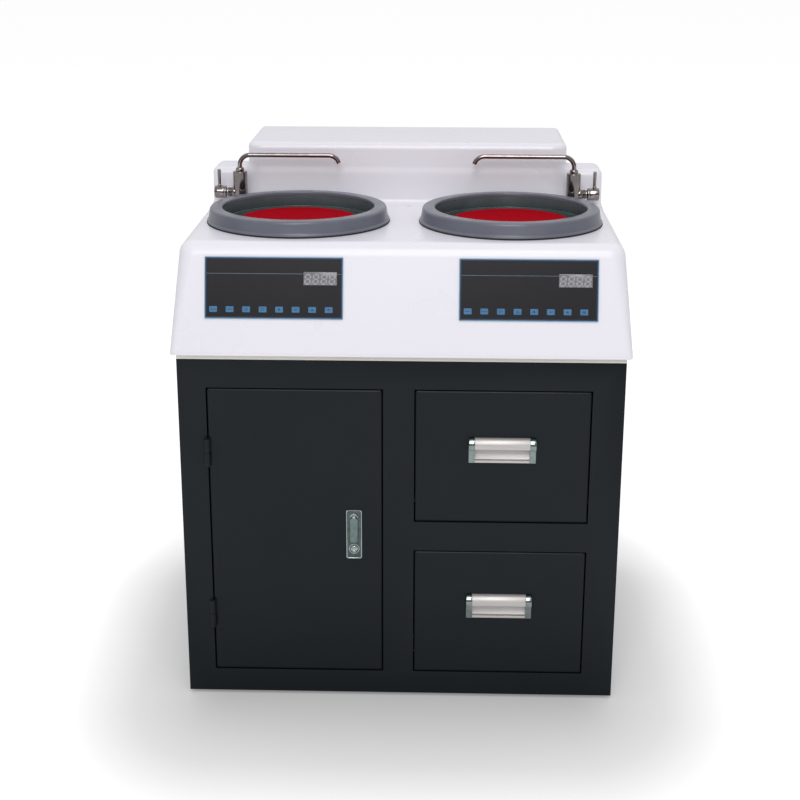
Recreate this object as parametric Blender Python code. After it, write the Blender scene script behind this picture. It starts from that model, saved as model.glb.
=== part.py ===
"""A floor-standing, two-bowl disc grinder and polisher.

A moulded white top housing carries two bowls, each with a belt-driven polishing disc, a swivelling
water tap and a control panel. It stands on a steel cabinet with one door and two drawers.
Metres, +Z up, front towards -Y. The origin lies on the floor, under the middle of the whole object.
Every solid that touches a neighbour keeps GAP to it.
"""

import math

import bmesh
import bpy
from mathutils import Matrix, Vector

# ---------------------------------------------------------------- driving dimensions, in metres
GAP = 0.0003
SHEET = 0.002

# Disc size, the ruling dimension: bowls, housing and cabinet are laid out round the two discs
DISC_RADIUS = 0.100

# Cabinet
HOUSING_OVERHANG = 0.008
CABINET_SETBACK = 0.014
CABINET_TOP = 0.592
FOOT_HEIGHT = 0.006
FOOT_RADIUS = 0.022
FOOT_INSET = 0.050
TOP_FLANGE = 0.020
FRAME_DEPTH = 0.016

# Openings in the face frame
OPENING_BOTTOM = 0.046
HEAD_RAIL = 0.047
SIDE_STILE = 0.045
RIGHT_STILE = 0.051
DOOR_OPENING_WIDTH = 0.284
MIDDLE_STILE = 0.050
LOWER_DRAWER_OPENING = 0.222
DRAWER_RAIL = 0.050
LEAF_CLEARANCE = 0.0015
LEAF_DEPTH = 0.016

# Door furniture
HINGE_RADIUS = 0.0050
HINGE_PIN_RADIUS = 0.0022
HINGE_LENGTH = 0.048
HINGE_LEAF = 0.004
UPPER_HINGE_DROP = 0.109
LOWER_HINGE_RISE = 0.105
LATCH_WIDTH = 0.026
LATCH_HEIGHT = 0.086
LATCH_PLATE = 0.003
LATCH_FROM_DOOR_EDGE = 0.0475
LATCH_ABOVE_MIDDLE = 0.0005
LATCH_BARREL_RADIUS = 0.011
LATCH_SPINDLE_RADIUS = 0.004
LATCH_SPINDLE_DROP = 0.012
LATCH_HEAD_RADIUS = 0.0065
LATCH_LEVER_WIDTH = 0.014
LATCH_LEVER_LENGTH = 0.043
LATCH_LEVER_THICKNESS = 0.006
LATCH_PIN_RADIUS = 0.001
LATCH_TONGUE_WIDTH = 0.004
LATCH_BUTTON_RADIUS = 0.0070
LATCH_BUTTON_UP = 0.0180
LATCH_BUTTON_PROUD = 0.003
LATCH_BUTTON_TAIL = 0.004
LATCH_HEAD = 0.0015
CAM_CATCH = 0.0105
CAM_WIDTH = 0.014
CAM_THICKNESS = 0.003

# Drawers
DRAWER_SIDE_ROOM = 0.0135
DRAWER_TOP_ROOM = 0.030
DRAWER_BACK_ROOM = 0.1037
RUNNER_HEIGHT = 0.030
RUNNER_SHEET = 0.0015
RAIL_HEIGHT = 0.012
RAIL_ROOM = 0.001
PULL_WIDTH = 0.108
PULL_HEIGHT = 0.042
PULL_PROUD = 0.012
PULL_RECESS = 0.012
PULL_CAP = 0.010
PULL_WALL = 0.002
PULL_FLANGE = 0.003
PULL_HOOD = 0.019
PULL_LIP = 0.004

# Base plate and housing
BASE_PLATE = 0.013
BASE_SHEET = 0.003
DECK_RISE = 0.1684
HOUSING_WALL = 0.004
HOUSING_FLANGE = 0.030
SIDE_LEAN = 0.014
FOLD_SETBACK = 0.045
HOUSING_CORNER = 0.026
FOLD_RADIUS = 0.018
HUMP_RISE = 0.106
HUMP_DEPTH = 0.231
HUMP_FROM_DECK_SIDE = 0.068
HUMP_LEAN = 0.010
HUMP_CORNER = 0.022
HUMP_EDGE = 0.010
REAR_STEP = 0.001
SHOULDER_SETBACK = 0.005
SHOULDER_RISE = 0.061
SHOULDER_DEPTH = 0.140
SHOULDER_REAR_RISE = 0.016
SHOULDER_EDGE = 0.010

# Bowls
DISC_ROOM = 0.025
BOWL_WALL = 0.003
BOWL_FLANGE_WIDTH = 0.017
BOWL_FLANGE_THICK = 0.002
BOWL_DEPTH = 0.062
BOWL_HUB_RISE = 0.034
RING_SETBACK = 0.002
RING_WIDTH = 0.026
RING_RISE = 0.026
RING_TO_RING = 0.050
RING_TO_DECK_SIDE = 0.020
RING_TO_FOLD = 0.033
RING_TO_HUMP = 0.005
DRAIN_RADIUS = 0.009
DRAIN_FROM_WALL = 0.027
DRAIN_STUB = 0.018
DRAIN_PIPE_RADIUS = 0.013
DRAIN_OUTLET_RADIUS = 0.011
DRAIN_PIPE_DROP = 0.044

# Drive
DISC_PROUD = 0.004
CLOTH = 0.0015
PLATEN = 0.012
SPINDLE_RADIUS = 0.010
DRIVE_PLATE_RADIUS = 0.032
DRIVE_PLATE = 0.006
BEARING_RADIUS = 0.030
BEARING_FLANGE_RADIUS = 0.052
BEARING_FLANGE = 0.008
MOTOR_BEHIND_HUMP_FRONT = 0.086
MOTOR_RADIUS = 0.045
MOTOR_HEIGHT = 0.150
MOTOR_FLANGE_RADIUS = 0.056
MOTOR_SHAFT_RADIUS = 0.007
SPINDLE_PULLEY_RADIUS = 0.050
MOTOR_PULLEY_RADIUS = 0.030
PULLEY_LIP = 0.003
PULLEY_LIP_THICK = 0.003
PULLEY_DROP = 0.006
BELT_WIDTH = 0.012
BELT_THICK = 0.004
BELT_SIDE_ROOM = 0.0005

# Taps
TAP_OUTSIDE_HUMP = 0.010
TAP_BEFORE_HUMP = 0.020
TAP_RADIUS = 0.0125
TAP_HEIGHT = 0.060
TAP_BASE_RADIUS = 0.017
TAP_SHANK_RADIUS = 0.008
TAP_SHANK = 0.045
SPOUT_RADIUS = 0.004
SPOUT_HEIGHT = 0.088
SPOUT_REACH = 0.176
SPOUT_BEND = 0.018
SPOUT_TIP_BEND = 0.020
SPOUT_TIP_DROP = 0.006
SPOUT_SOCKET = 0.014
SPOUT_COLLAR_RADIUS = 0.0075
VALVE_Z_ABOVE_DECK = 0.023
VALVE_NECK_RADIUS = 0.008
VALVE_NECK_END = 0.024
VALVE_RADIUS = 0.011
VALVE_LENGTH = 0.021
VALVE_STEM_RADIUS = 0.004
VALVE_STEM = 0.008
LEVER_RADIUS = 0.003
LEVER_HEIGHT = 0.040

# Control panels and electrics
PANEL_WIDTH = 0.218
PANEL_HEIGHT = 0.097
PANEL_FROM_BOWL_X = 0.022
PANEL_CENTRE_RISE = 0.1004
PANEL_THICK = 0.0016
PANEL_CUTOUT_MARGIN = 0.020
DISPLAY_WIDTH = 0.052
DISPLAY_HEIGHT = 0.022
DISPLAY_DEPTH = 0.012
DISPLAY_FROM_RIGHT = 0.010
DISPLAY_FROM_TOP = 0.021
CONTROL_BOX = Vector((0.076, 0.120, 0.045))
CONTROL_BOX_SETBACK = 0.120
INLET_WIDTH = 0.048
INLET_HEIGHT = 0.028
INLET_X = 0.120
INLET_RISE = 0.0444
INLET_DEPTH = 0.022
INLET_END_WALL = 0.010
INLET_WALL = 0.003
INLET_BLADE = 0.012

# Fineness of round shapes
BOWL_STEPS = 40
TURNED_STEPS = 24
FINE_STEPS = 16

# ---------------------------------------------------------------- sizes and places worked out from them
# Each bowl and ring round its disc
BOWL_RADIUS = DISC_RADIUS + DISC_ROOM
BOWL_FLANGE = BOWL_RADIUS + BOWL_FLANGE_WIDTH
RING_INNER = BOWL_RADIUS + RING_SETBACK
RING_OUTER = RING_INNER + RING_WIDTH
DRAIN_FROM_CENTRE = BOWL_RADIUS - DRAIN_FROM_WALL

# The deck round both rings, and the cabinet under it
BOWL_X = RING_TO_RING / 2 + RING_OUTER
DECK_HALF = BOWL_X + RING_OUTER + RING_TO_DECK_SIDE
HOUSING_WIDTH = 2 * (DECK_HALF + SIDE_LEAN)
HOUSING_DEPTH = FOLD_SETBACK + RING_TO_FOLD + 2 * RING_OUTER + RING_TO_HUMP + HUMP_DEPTH
HALF_DEPTH = HOUSING_DEPTH / 2
BOWL_Y = -HALF_DEPTH + FOLD_SETBACK + RING_TO_FOLD + RING_OUTER
CABINET_HALF = HOUSING_WIDTH / 2 - HOUSING_OVERHANG
CABINET_FRONT = -HALF_DEPTH + CABINET_SETBACK
CABINET_BACK = HALF_DEPTH - CABINET_SETBACK
FRAME_BACK = CABINET_FRONT + FRAME_DEPTH
DOOR_LEFT = -CABINET_HALF + SIDE_STILE
DOOR_RIGHT = DOOR_LEFT + DOOR_OPENING_WIDTH
DRAWER_LEFT = DOOR_RIGHT + MIDDLE_STILE
DRAWER_RIGHT = CABINET_HALF - RIGHT_STILE
OPENING_TOP = CABINET_TOP - HEAD_RAIL
LOWER_OPENING_TOP = OPENING_BOTTOM + LOWER_DRAWER_OPENING
UPPER_OPENING_BOTTOM = LOWER_OPENING_TOP + DRAWER_RAIL
PLATE_BOTTOM = CABINET_TOP + GAP
PLATE_TOP = PLATE_BOTTOM + BASE_PLATE
HOUSING_BOTTOM = PLATE_TOP + GAP

# Door furniture
LATCH_X = DOOR_RIGHT - LATCH_FROM_DOOR_EDGE
LATCH_Z = (OPENING_BOTTOM + OPENING_TOP) / 2 + LATCH_ABOVE_MIDDLE
CAM_LENGTH = LATCH_FROM_DOOR_EDGE + CAM_CATCH
UPPER_HINGE_Z = OPENING_TOP - UPPER_HINGE_DROP
LOWER_HINGE_Z = OPENING_BOTTOM + LOWER_HINGE_RISE
LATCH_FACE = CABINET_FRONT - GAP - LATCH_PLATE
SPINDLE_Z = LATCH_Z + LATCH_HEIGHT / 2 - LATCH_SPINDLE_DROP
HINGE_AXIS = Vector((DOOR_LEFT, CABINET_FRONT - HINGE_RADIUS - GAP, 0.0))

# Housing above the base plate
DECK_Z = HOUSING_BOTTOM + DECK_RISE
SLOPE = math.atan2(FOLD_SETBACK, DECK_RISE)
HUMP_TOP = DECK_Z + HUMP_RISE
HUMP_HALF = DECK_HALF - HUMP_FROM_DECK_SIDE
HUMP_FRONT = HALF_DEPTH - HUMP_DEPTH
SHOULDER_TOP = DECK_Z + SHOULDER_RISE
SHOULDER_BACK = HUMP_FRONT + SHOULDER_DEPTH
SHOULDER_REAR_Z = DECK_Z + SHOULDER_REAR_RISE
RING_TOP = DECK_Z + RING_RISE
BOWL_FLOOR_Z = DECK_Z - BOWL_DEPTH
BOWL_HUB_TOP = BOWL_FLOOR_Z + BOWL_HUB_RISE
DRAIN_PIPE_Z = BOWL_FLOOR_Z - DRAIN_PIPE_DROP
TAP_X = HUMP_HALF + TAP_OUTSIDE_HUMP
TAP_Y = HUMP_FRONT - TAP_BEFORE_HUMP
PANEL_CENTRE_Z = HOUSING_BOTTOM + PANEL_CENTRE_RISE
INLET_Z = HOUSING_BOTTOM + INLET_RISE
CONTROL_BOX_Y = -HALF_DEPTH + CONTROL_BOX_SETBACK

# Drive
MOTOR_Y = HUMP_FRONT + MOTOR_BEHIND_HUMP_FRONT
DISC_TOP = DECK_Z + DISC_PROUD
PLATEN_TOP = DISC_TOP - CLOTH - GAP
PLATEN_BOTTOM = PLATEN_TOP - PLATEN
PULLEY_TOP = PLATE_BOTTOM - PULLEY_DROP
BELT_TOP = PULLEY_TOP - PULLEY_LIP_THICK - BELT_SIDE_ROOM
BELT_BOTTOM = BELT_TOP - BELT_WIDTH
PULLEY_BOTTOM = BELT_BOTTOM - BELT_SIDE_ROOM - PULLEY_LIP_THICK


# ---------------------------------------------------------------- materials
def paint(name, colour, roughness, metallic=0.0):
    """A Principled BSDF material of one colour."""
    made = bpy.data.materials.new(name)
    made.use_nodes = True
    shader = made.node_tree.nodes["Principled BSDF"]
    shader.inputs["Base Color"].default_value = (*colour, 1.0)
    shader.inputs["Roughness"].default_value = roughness
    shader.inputs["Metallic"].default_value = metallic
    return made


FINISHES = {
    "cabinet_paint": ((0.021, 0.028, 0.034), 0.45, 0.0),
    "white_shell": ((0.80, 0.79, 0.82), 0.35, 0.0),
    "cream_plate": ((0.75, 0.72, 0.62), 0.5, 0.0),
    "grey_ring": ((0.17, 0.18, 0.21), 0.4, 0.0),
    "dark_bowl": ((0.04, 0.045, 0.055), 0.4, 0.0),
    "red_cloth": ((0.55, 0.004, 0.012), 0.9, 0.0),
    "platen_aluminium": ((0.60, 0.61, 0.62), 0.35, 1.0),
    "pull_aluminium": ((0.62, 0.62, 0.60), 0.3, 1.0),
    "chrome": ((0.80, 0.81, 0.82), 0.08, 1.0),
    "steel": ((0.45, 0.46, 0.47), 0.35, 1.0),
    "zinc_sheet": ((0.55, 0.56, 0.57), 0.45, 1.0),
    "motor_paint": ((0.10, 0.12, 0.14), 0.5, 0.0),
    "black_rubber": ((0.015, 0.015, 0.016), 0.7, 0.0),
    "black_plastic": ((0.02, 0.02, 0.022), 0.5, 0.0),
    "drain_plastic": ((0.35, 0.36, 0.37), 0.5, 0.0),
    "panel_film": ((0.025, 0.023, 0.028), 0.3, 0.0),
    "display_window": ((0.22, 0.21, 0.23), 0.2, 0.0),
}


# ---------------------------------------------------------------- shape tools
def finish_mesh(name, bm, finish, smooth=True):
    """Makes a linked object of a bmesh, normals out, with its own copy of a finish."""
    bmesh.ops.remove_doubles(bm, verts=bm.verts, dist=1e-6)
    bmesh.ops.recalc_face_normals(bm, faces=bm.faces)
    mesh = bpy.data.meshes.new(name)
    bm.to_mesh(mesh)
    bm.free()
    if smooth:
        mesh.shade_smooth()
        mesh.set_sharp_from_angle(angle=math.radians(35))
    if finish:
        mesh.materials.append(paint(name + "_finish", *FINISHES[finish]))
    made = bpy.data.objects.new(name, mesh)
    bpy.context.collection.objects.link(made)
    return made


def move_origin(piece, origin):
    """Puts a piece's origin at a world point and leaves its shape where it is."""
    origin = Vector(origin)
    piece.data.transform(Matrix.Translation(-origin))
    piece.location = origin
    return piece


def block(name, low, high, finish=None):
    """A box between two corners."""
    low = Vector(low)
    high = Vector(high)
    bm = bmesh.new()
    size = Matrix.Diagonal((*(high - low), 1.0))
    bmesh.ops.create_cube(bm, size=1.0, matrix=Matrix.Translation((low + high) / 2) @ size)
    return finish_mesh(name, bm, finish, smooth=False)


def plate(name, outline, depth, turn, finish=None):
    """A flat outline, extruded by depth along its own +Z, then put in place by a matrix."""
    bm = bmesh.new()
    face = bm.faces.new([bm.verts.new((x, y, 0.0)) for x, y in outline])
    grown = bmesh.ops.extrude_face_region(bm, geom=[face])["geom"]
    corners = [item for item in grown if isinstance(item, bmesh.types.BMVert)]
    bmesh.ops.translate(bm, verts=corners, vec=(0.0, 0.0, depth))
    bmesh.ops.transform(bm, matrix=turn, verts=bm.verts)
    return finish_mesh(name, bm, finish)


def turned(name, profile, centre, axis="Z", steps=TURNED_STEPS, finish=None):
    """A closed (radius, height) profile, spun about an axis through centre."""
    bm = bmesh.new()
    verts = [bm.verts.new((radius, 0.0, height)) for radius, height in profile]
    pairs = zip(verts, verts[1:] + verts[:1])
    edges = [bm.edges.new(pair) for pair in pairs if pair[0].co.x > 0 or pair[1].co.x > 0]
    bmesh.ops.spin(
        bm, geom=verts + edges, cent=(0, 0, 0), axis=(0, 0, 1), angle=math.tau, steps=steps, use_merge=True
    )
    turns = {"Z": Matrix.Identity(4), "X": Matrix.Rotation(math.pi / 2, 4, "Y")}
    turns["Y"] = Matrix.Rotation(-math.pi / 2, 4, "X")
    bmesh.ops.transform(bm, matrix=Matrix.Translation(centre) @ turns[axis], verts=bm.verts)
    return finish_mesh(name, bm, finish)


def rod(name, radius, start, end, centre, axis="Z", steps=FINE_STEPS, finish=None):
    """A solid cylinder from start to end along an axis through centre."""
    profile = [(0.0, start), (radius, start), (radius, end), (0.0, end)]
    return turned(name, profile, centre, axis, steps, finish)


def rounded_section(height, half, front, back, radius, steps=4):
    """The points of a rounded rectangle at one height, anticlockwise from its right front corner."""
    corners = (
        (half - radius, front + radius, -90),
        (half - radius, back - radius, 0),
        (radius - half, back - radius, 90),
        (radius - half, front + radius, 180),
    )
    points = []
    for x, y, start in corners:
        for step in range(steps + 1):
            angle = math.radians(start + 90 * step / steps)
            points.append((x + radius * math.cos(angle), y + radius * math.sin(angle), height))
    return points


def stacked(name, sections, finish=None):
    """A solid skinned over closed sections that all have as many points."""
    bm = bmesh.new()
    rings = [[bm.verts.new(point) for point in section] for section in sections]
    for lower, upper in zip(rings, rings[1:]):
        for index, corner in enumerate(lower):
            after = (index + 1) % len(lower)
            bm.faces.new((corner, lower[after], upper[after], upper[index]))
    bm.faces.new(rings[0][::-1])
    bm.faces.new(rings[-1])
    return finish_mesh(name, bm, finish)


def combine(piece, operation, *others):
    """Boolean modifiers with helper solids, which stay out of the render."""
    for other in others:
        change = piece.modifiers.new(other.name, "BOOLEAN")
        change.operation = operation
        change.solver = "EXACT"
        change.object = other
        other.hide_render = True
        other.display_type = "WIRE"
    return piece


def cut(piece, *cutters):
    return combine(piece, "DIFFERENCE", *cutters)


def join(piece, *additions):
    return combine(piece, "UNION", *additions)


def soften(piece, width, segments=2):
    """Rounds a helper's or a piece's sharp edges."""
    edge = piece.modifiers.new("edge", "BEVEL")
    edge.width = width
    edge.segments = segments
    edge.limit_method = "ANGLE"
    edge.angle_limit = math.radians(30)
    return piece


def axis_empty(name, place):
    """An empty on a joint's axis, which its pieces are parented to."""
    empty = bpy.data.objects.new(name, None)
    empty.location = place
    empty.empty_display_size = 0.03
    bpy.context.collection.objects.link(empty)
    return empty


def carry(empty, *pieces):
    """Parents pieces to an empty and keeps them where they are."""
    bpy.context.view_layer.update()
    for piece in pieces:
        piece.parent = empty
        piece.matrix_parent_inverse = empty.matrix_world.inverted()


# ---------------------------------------------------------------- cabinet
def make_carcass():
    """Sides and floor, folded from sheet, with a flange along the top of each side."""
    outer_low = (-CABINET_HALF, FRAME_BACK + GAP, FOOT_HEIGHT)
    outer_high = (CABINET_HALF, CABINET_BACK - SHEET - GAP, CABINET_TOP)
    carcass = block("cabinet_carcass", outer_low, outer_high, "cabinet_paint")
    inside = block(
        "carcass_inside",
        (-CABINET_HALF + SHEET, CABINET_FRONT - SHEET, FOOT_HEIGHT + SHEET),
        (CABINET_HALF - SHEET, CABINET_BACK + SHEET, CABINET_TOP - SHEET),
    )
    mouth = block(
        "carcass_mouth",
        (-CABINET_HALF + TOP_FLANGE, CABINET_FRONT - SHEET, CABINET_TOP - 2 * SHEET),
        (CABINET_HALF - TOP_FLANGE, CABINET_BACK + SHEET, CABINET_TOP + SHEET),
    )
    return cut(carcass, inside, mouth)


def make_back_panel():
    """The flat sheet that closes the cabinet's rear."""
    return block(
        "cabinet_back_panel",
        (-CABINET_HALF, CABINET_BACK - SHEET, FOOT_HEIGHT),
        (CABINET_HALF, CABINET_BACK, CABINET_TOP),
        "cabinet_paint",
    )


def frame_pockets():
    """The hollows behind the face frame's stiles and rails, as (left, right, bottom, top)."""
    left = -CABINET_HALF + SHEET
    right = CABINET_HALF - SHEET
    base = OPENING_BOTTOM - SHEET
    head = OPENING_TOP + SHEET
    return {
        "bottom_rail": (left, right, FOOT_HEIGHT + SHEET, base),
        "top_rail": (left, right, head, CABINET_TOP - SHEET),
        "left_stile": (left, DOOR_LEFT - SHEET, base + SHEET / 2, head - SHEET / 2),
        "middle_stile": (DOOR_RIGHT + SHEET, DRAWER_LEFT - SHEET, base + SHEET / 2, head - SHEET / 2),
        "right_stile": (DRAWER_RIGHT + SHEET, right, base + SHEET / 2, head - SHEET / 2),
        "drawer_rail": (
            DRAWER_LEFT - SHEET / 2,
            DRAWER_RIGHT + SHEET / 2,
            LOWER_OPENING_TOP + SHEET,
            UPPER_OPENING_BOTTOM - SHEET,
        ),
    }


def make_face_frame():
    """The front frame: thin sheet with lips turned back round its openings and its border."""
    frame = block(
        "face_frame",
        (-CABINET_HALF, CABINET_FRONT, FOOT_HEIGHT),
        (CABINET_HALF, FRAME_BACK, CABINET_TOP),
        "cabinet_paint",
    )
    through = {
        "door_opening": (DOOR_LEFT, DOOR_RIGHT, OPENING_BOTTOM, OPENING_TOP),
        "lower_opening": (DRAWER_LEFT, DRAWER_RIGHT, OPENING_BOTTOM, LOWER_OPENING_TOP),
        "upper_opening": (DRAWER_LEFT, DRAWER_RIGHT, UPPER_OPENING_BOTTOM, OPENING_TOP),
    }
    for name, (left, right, bottom, top) in through.items():
        low = (left, CABINET_FRONT - SHEET, bottom)
        cut(frame, block(name, low, (right, FRAME_BACK + SHEET, top)))
    for name, (left, right, bottom, top) in frame_pockets().items():
        low = (left, CABINET_FRONT + SHEET, bottom)
        cut(frame, block(name + "_pocket", low, (right, FRAME_BACK + SHEET, top)))
    return frame


def make_divider():
    """The upright sheet between the door's compartment and the drawers."""
    middle = DOOR_RIGHT + MIDDLE_STILE / 2
    return block(
        "divider_wall",
        (middle - SHEET / 2, FRAME_BACK + GAP, FOOT_HEIGHT + SHEET + GAP),
        (middle + SHEET / 2, CABINET_BACK - SHEET - GAP, CABINET_TOP - SHEET),
        "cabinet_paint",
    )


def make_feet():
    """Four low rubber feet under the cabinet's corners."""
    for side, right in (("left", -1), ("right", 1)):
        for end, y in (("front", FRAME_BACK + FOOT_INSET), ("rear", CABINET_BACK - FOOT_INSET)):
            x = right * (CABINET_HALF - FOOT_INSET)
            name = f"foot_{end}_{side}"
            rod(name, FOOT_RADIUS, 0.0, FOOT_HEIGHT - GAP, (x, y, 0.0), "Z", TURNED_STEPS, "black_rubber")


# ---------------------------------------------------------------- door
def leaf_pan(name, left, right, bottom, top):
    """A door's or drawer's front: a shallow pan of sheet, open behind, a little smaller than its opening."""
    low = Vector((left + LEAF_CLEARANCE, CABINET_FRONT, bottom + LEAF_CLEARANCE))
    high = Vector((right - LEAF_CLEARANCE, CABINET_FRONT + LEAF_DEPTH, top - LEAF_CLEARANCE))
    pan = block(name, low, high, "cabinet_paint")
    hollow_low = low + Vector((SHEET, SHEET, SHEET))
    hollow_high = high + Vector((-SHEET, SHEET, -SHEET))
    return cut(pan, block(name + "_hollow", hollow_low, hollow_high))


def latch_hole(name, radius, height):
    """A cylinder along Y, right through the door at the latch."""
    return rod(name, radius, -0.02, 0.04, (LATCH_X, CABINET_FRONT, height), "Y", FINE_STEPS)


def make_door():
    """The door pan, with the hole that its latch's barrel passes through."""
    door = leaf_pan("door_panel", DOOR_LEFT, DOOR_RIGHT, OPENING_BOTTOM, OPENING_TOP)
    button_z = LATCH_Z - LATCH_HEIGHT / 2 + LATCH_BUTTON_UP
    cut(door, latch_hole("door_barrel_hole", LATCH_BARREL_RADIUS + GAP, SPINDLE_Z))
    cut(door, latch_hole("door_button_hole", LATCH_BUTTON_RADIUS + GAP, button_z))
    return move_origin(door, HINGE_AXIS)


def hinge_half(name, middle, upper):
    """One side of a barrel hinge. The lower, on the frame, holds the pin; the upper turns on it."""
    half = HINGE_LENGTH / 2
    low = middle + GAP / 2 if upper else middle - half
    high = middle + half if upper else middle - GAP / 2
    centre = (HINGE_AXIS.x, HINGE_AXIS.y, 0.0)
    barrel = rod(name, HINGE_RADIUS, low, high, centre, "Z", FINE_STEPS, "cabinet_paint")
    side = 1 if upper else -1
    reach = sorted((HINGE_AXIS.x, HINGE_AXIS.x + side * (LEAF_CLEARANCE + HINGE_LEAF)))
    leaf = block(
        name + "_leaf", (reach[0], HINGE_AXIS.y + SHEET / 2, low), (reach[1], CABINET_FRONT - GAP, high)
    )
    join(barrel, leaf)
    pin_end = middle + half - SHEET
    if upper:
        socket = rod(name + "_socket", HINGE_PIN_RADIUS + GAP, low - SHEET, pin_end + GAP, centre)
        return cut(barrel, socket)
    return join(barrel, rod(name + "_pin", HINGE_PIN_RADIUS, high - SHEET, pin_end, centre))


def make_latch_body():
    """The latch's plate on the door's face, with a barrel behind it for the spindle."""
    outline = [
        (x, y)
        for x, y, _ in rounded_section(0, LATCH_WIDTH / 2, -LATCH_HEIGHT / 2, LATCH_HEIGHT / 2, 0.006, 3)
    ]
    turn = Matrix.Translation((LATCH_X, CABINET_FRONT - GAP, LATCH_Z)) @ Matrix.Rotation(math.pi / 2, 4, "X")
    body = plate("latch_body", outline, LATCH_PLATE, turn, "chrome")
    barrel_end = LEAF_DEPTH + GAP
    centre = (LATCH_X, CABINET_FRONT, SPINDLE_Z)
    start = -LATCH_PLATE / 2
    join(body, rod("latch_barrel", LATCH_BARREL_RADIUS, start, barrel_end, centre, "Y", FINE_STEPS))
    cut(body, latch_hole("latch_spindle_bore", LATCH_SPINDLE_RADIUS + GAP, SPINDLE_Z))
    button_z = LATCH_Z - LATCH_HEIGHT / 2 + LATCH_BUTTON_UP
    cut(body, latch_hole("latch_button_bore", LATCH_BUTTON_RADIUS + GAP, button_z))
    return body


def make_latch_spindle():
    """The shaft through the latch: a head with a tongue in front, and the cam that catches behind."""
    centre = (LATCH_X, 0.0, SPINDLE_Z)
    head_back = LATCH_FACE - GAP
    head_front = head_back - LATCH_HEAD
    tail = CABINET_FRONT + LEAF_DEPTH + 2 * GAP + CAM_THICKNESS
    neck = head_back - LATCH_HEAD / 2
    spindle = rod("latch_spindle", LATCH_SPINDLE_RADIUS, neck, tail, centre, "Y", FINE_STEPS, "steel")
    head = rod("spindle_head", LATCH_HEAD_RADIUS, head_front, head_back, centre, "Y", FINE_STEPS)
    pivot_y = head_front - GAP - LATCH_LEVER_THICKNESS / 2
    tongue = block(
        "spindle_tongue",
        (LATCH_X - LATCH_TONGUE_WIDTH / 2, pivot_y - 0.0022, SPINDLE_Z - 0.0022),
        (LATCH_X + LATCH_TONGUE_WIDTH / 2, head_back - 0.0005, SPINDLE_Z + 0.0022),
    )
    cam = block(
        "spindle_cam",
        (LATCH_X - CAM_WIDTH / 2, tail - CAM_THICKNESS, SPINDLE_Z - CAM_LENGTH),
        (LATCH_X + CAM_WIDTH / 2, tail - 0.0005, SPINDLE_Z + CAM_WIDTH / 2),
    )
    join(spindle, head, tongue, cam)
    pin_hole = (LATCH_X, pivot_y, SPINDLE_Z)
    cut(spindle, rod("tongue_hole", LATCH_PIN_RADIUS + GAP, -0.01, 0.01, pin_hole, "X", 12))
    return move_origin(spindle, (LATCH_X, pivot_y, SPINDLE_Z))


def make_latch_lever():
    """The lever that lifts off the plate and turns the spindle. Its top end is round about its pin."""
    pivot = Vector((LATCH_X, LATCH_FACE - 2 * GAP - LATCH_HEAD - LATCH_LEVER_THICKNESS / 2, SPINDLE_Z))
    half = LATCH_LEVER_THICKNESS / 2
    lever = block(
        "latch_lever",
        (pivot.x - LATCH_LEVER_WIDTH / 2, pivot.y - half, pivot.z - LATCH_LEVER_LENGTH),
        (pivot.x + LATCH_LEVER_WIDTH / 2, pivot.y + half, pivot.z),
        "chrome",
    )
    reach = LATCH_LEVER_WIDTH / 2
    join(lever, rod("lever_round", half, -reach, reach, pivot, "X", FINE_STEPS))
    slot = LATCH_TONGUE_WIDTH / 2 + 2 * GAP
    room = LATCH_LEVER_THICKNESS
    slot_low = (pivot.x - slot, pivot.y - room, pivot.z - 0.006)
    cut(lever, block("lever_slot", slot_low, (pivot.x + slot, pivot.y + room, pivot.z + room)))
    join(lever, rod("lever_pin", LATCH_PIN_RADIUS, -reach + 0.001, reach - 0.001, pivot, "X", 12))
    return move_origin(lever, pivot)


def make_latch_button():
    """The round release button at the foot of the latch's plate."""
    button_z = LATCH_Z - LATCH_HEIGHT / 2 + LATCH_BUTTON_UP
    front = LATCH_FACE - LATCH_BUTTON_PROUD
    back = CABINET_FRONT + LATCH_BUTTON_TAIL
    profile = [(0, front), (LATCH_BUTTON_RADIUS - 0.001, front), (LATCH_BUTTON_RADIUS, front + 0.001)]
    profile += [(LATCH_BUTTON_RADIUS, back), (0, back)]
    button = turned("latch_button", profile, (LATCH_X, 0, button_z), "Y", FINE_STEPS, "chrome")
    return move_origin(button, (LATCH_X, front, button_z))


# ---------------------------------------------------------------- drawers
def make_runner(name, side, bottom):
    """A channel from the face frame to the back panel, which one of a drawer's rails slides in."""
    edge = DRAWER_LEFT if side < 0 else DRAWER_RIGHT
    web_out = edge + side * RUNNER_SHEET
    tip = edge - side * (DRAWER_SIDE_ROOM - RAIL_ROOM)
    low = (min(web_out, tip), FRAME_BACK + GAP, bottom)
    high = (max(web_out, tip), CABINET_BACK - SHEET - GAP, bottom + RUNNER_HEIGHT)
    runner = block(name, low, high, "zinc_sheet")
    inner = sorted((edge, tip - side * RUNNER_SHEET))
    hollow_low = (inner[0], FRAME_BACK - SHEET, bottom + RUNNER_SHEET)
    hollow_high = (inner[1], CABINET_BACK + SHEET, bottom + RUNNER_HEIGHT - RUNNER_SHEET)
    return cut(runner, block(name + "_hollow", hollow_low, hollow_high))


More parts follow.
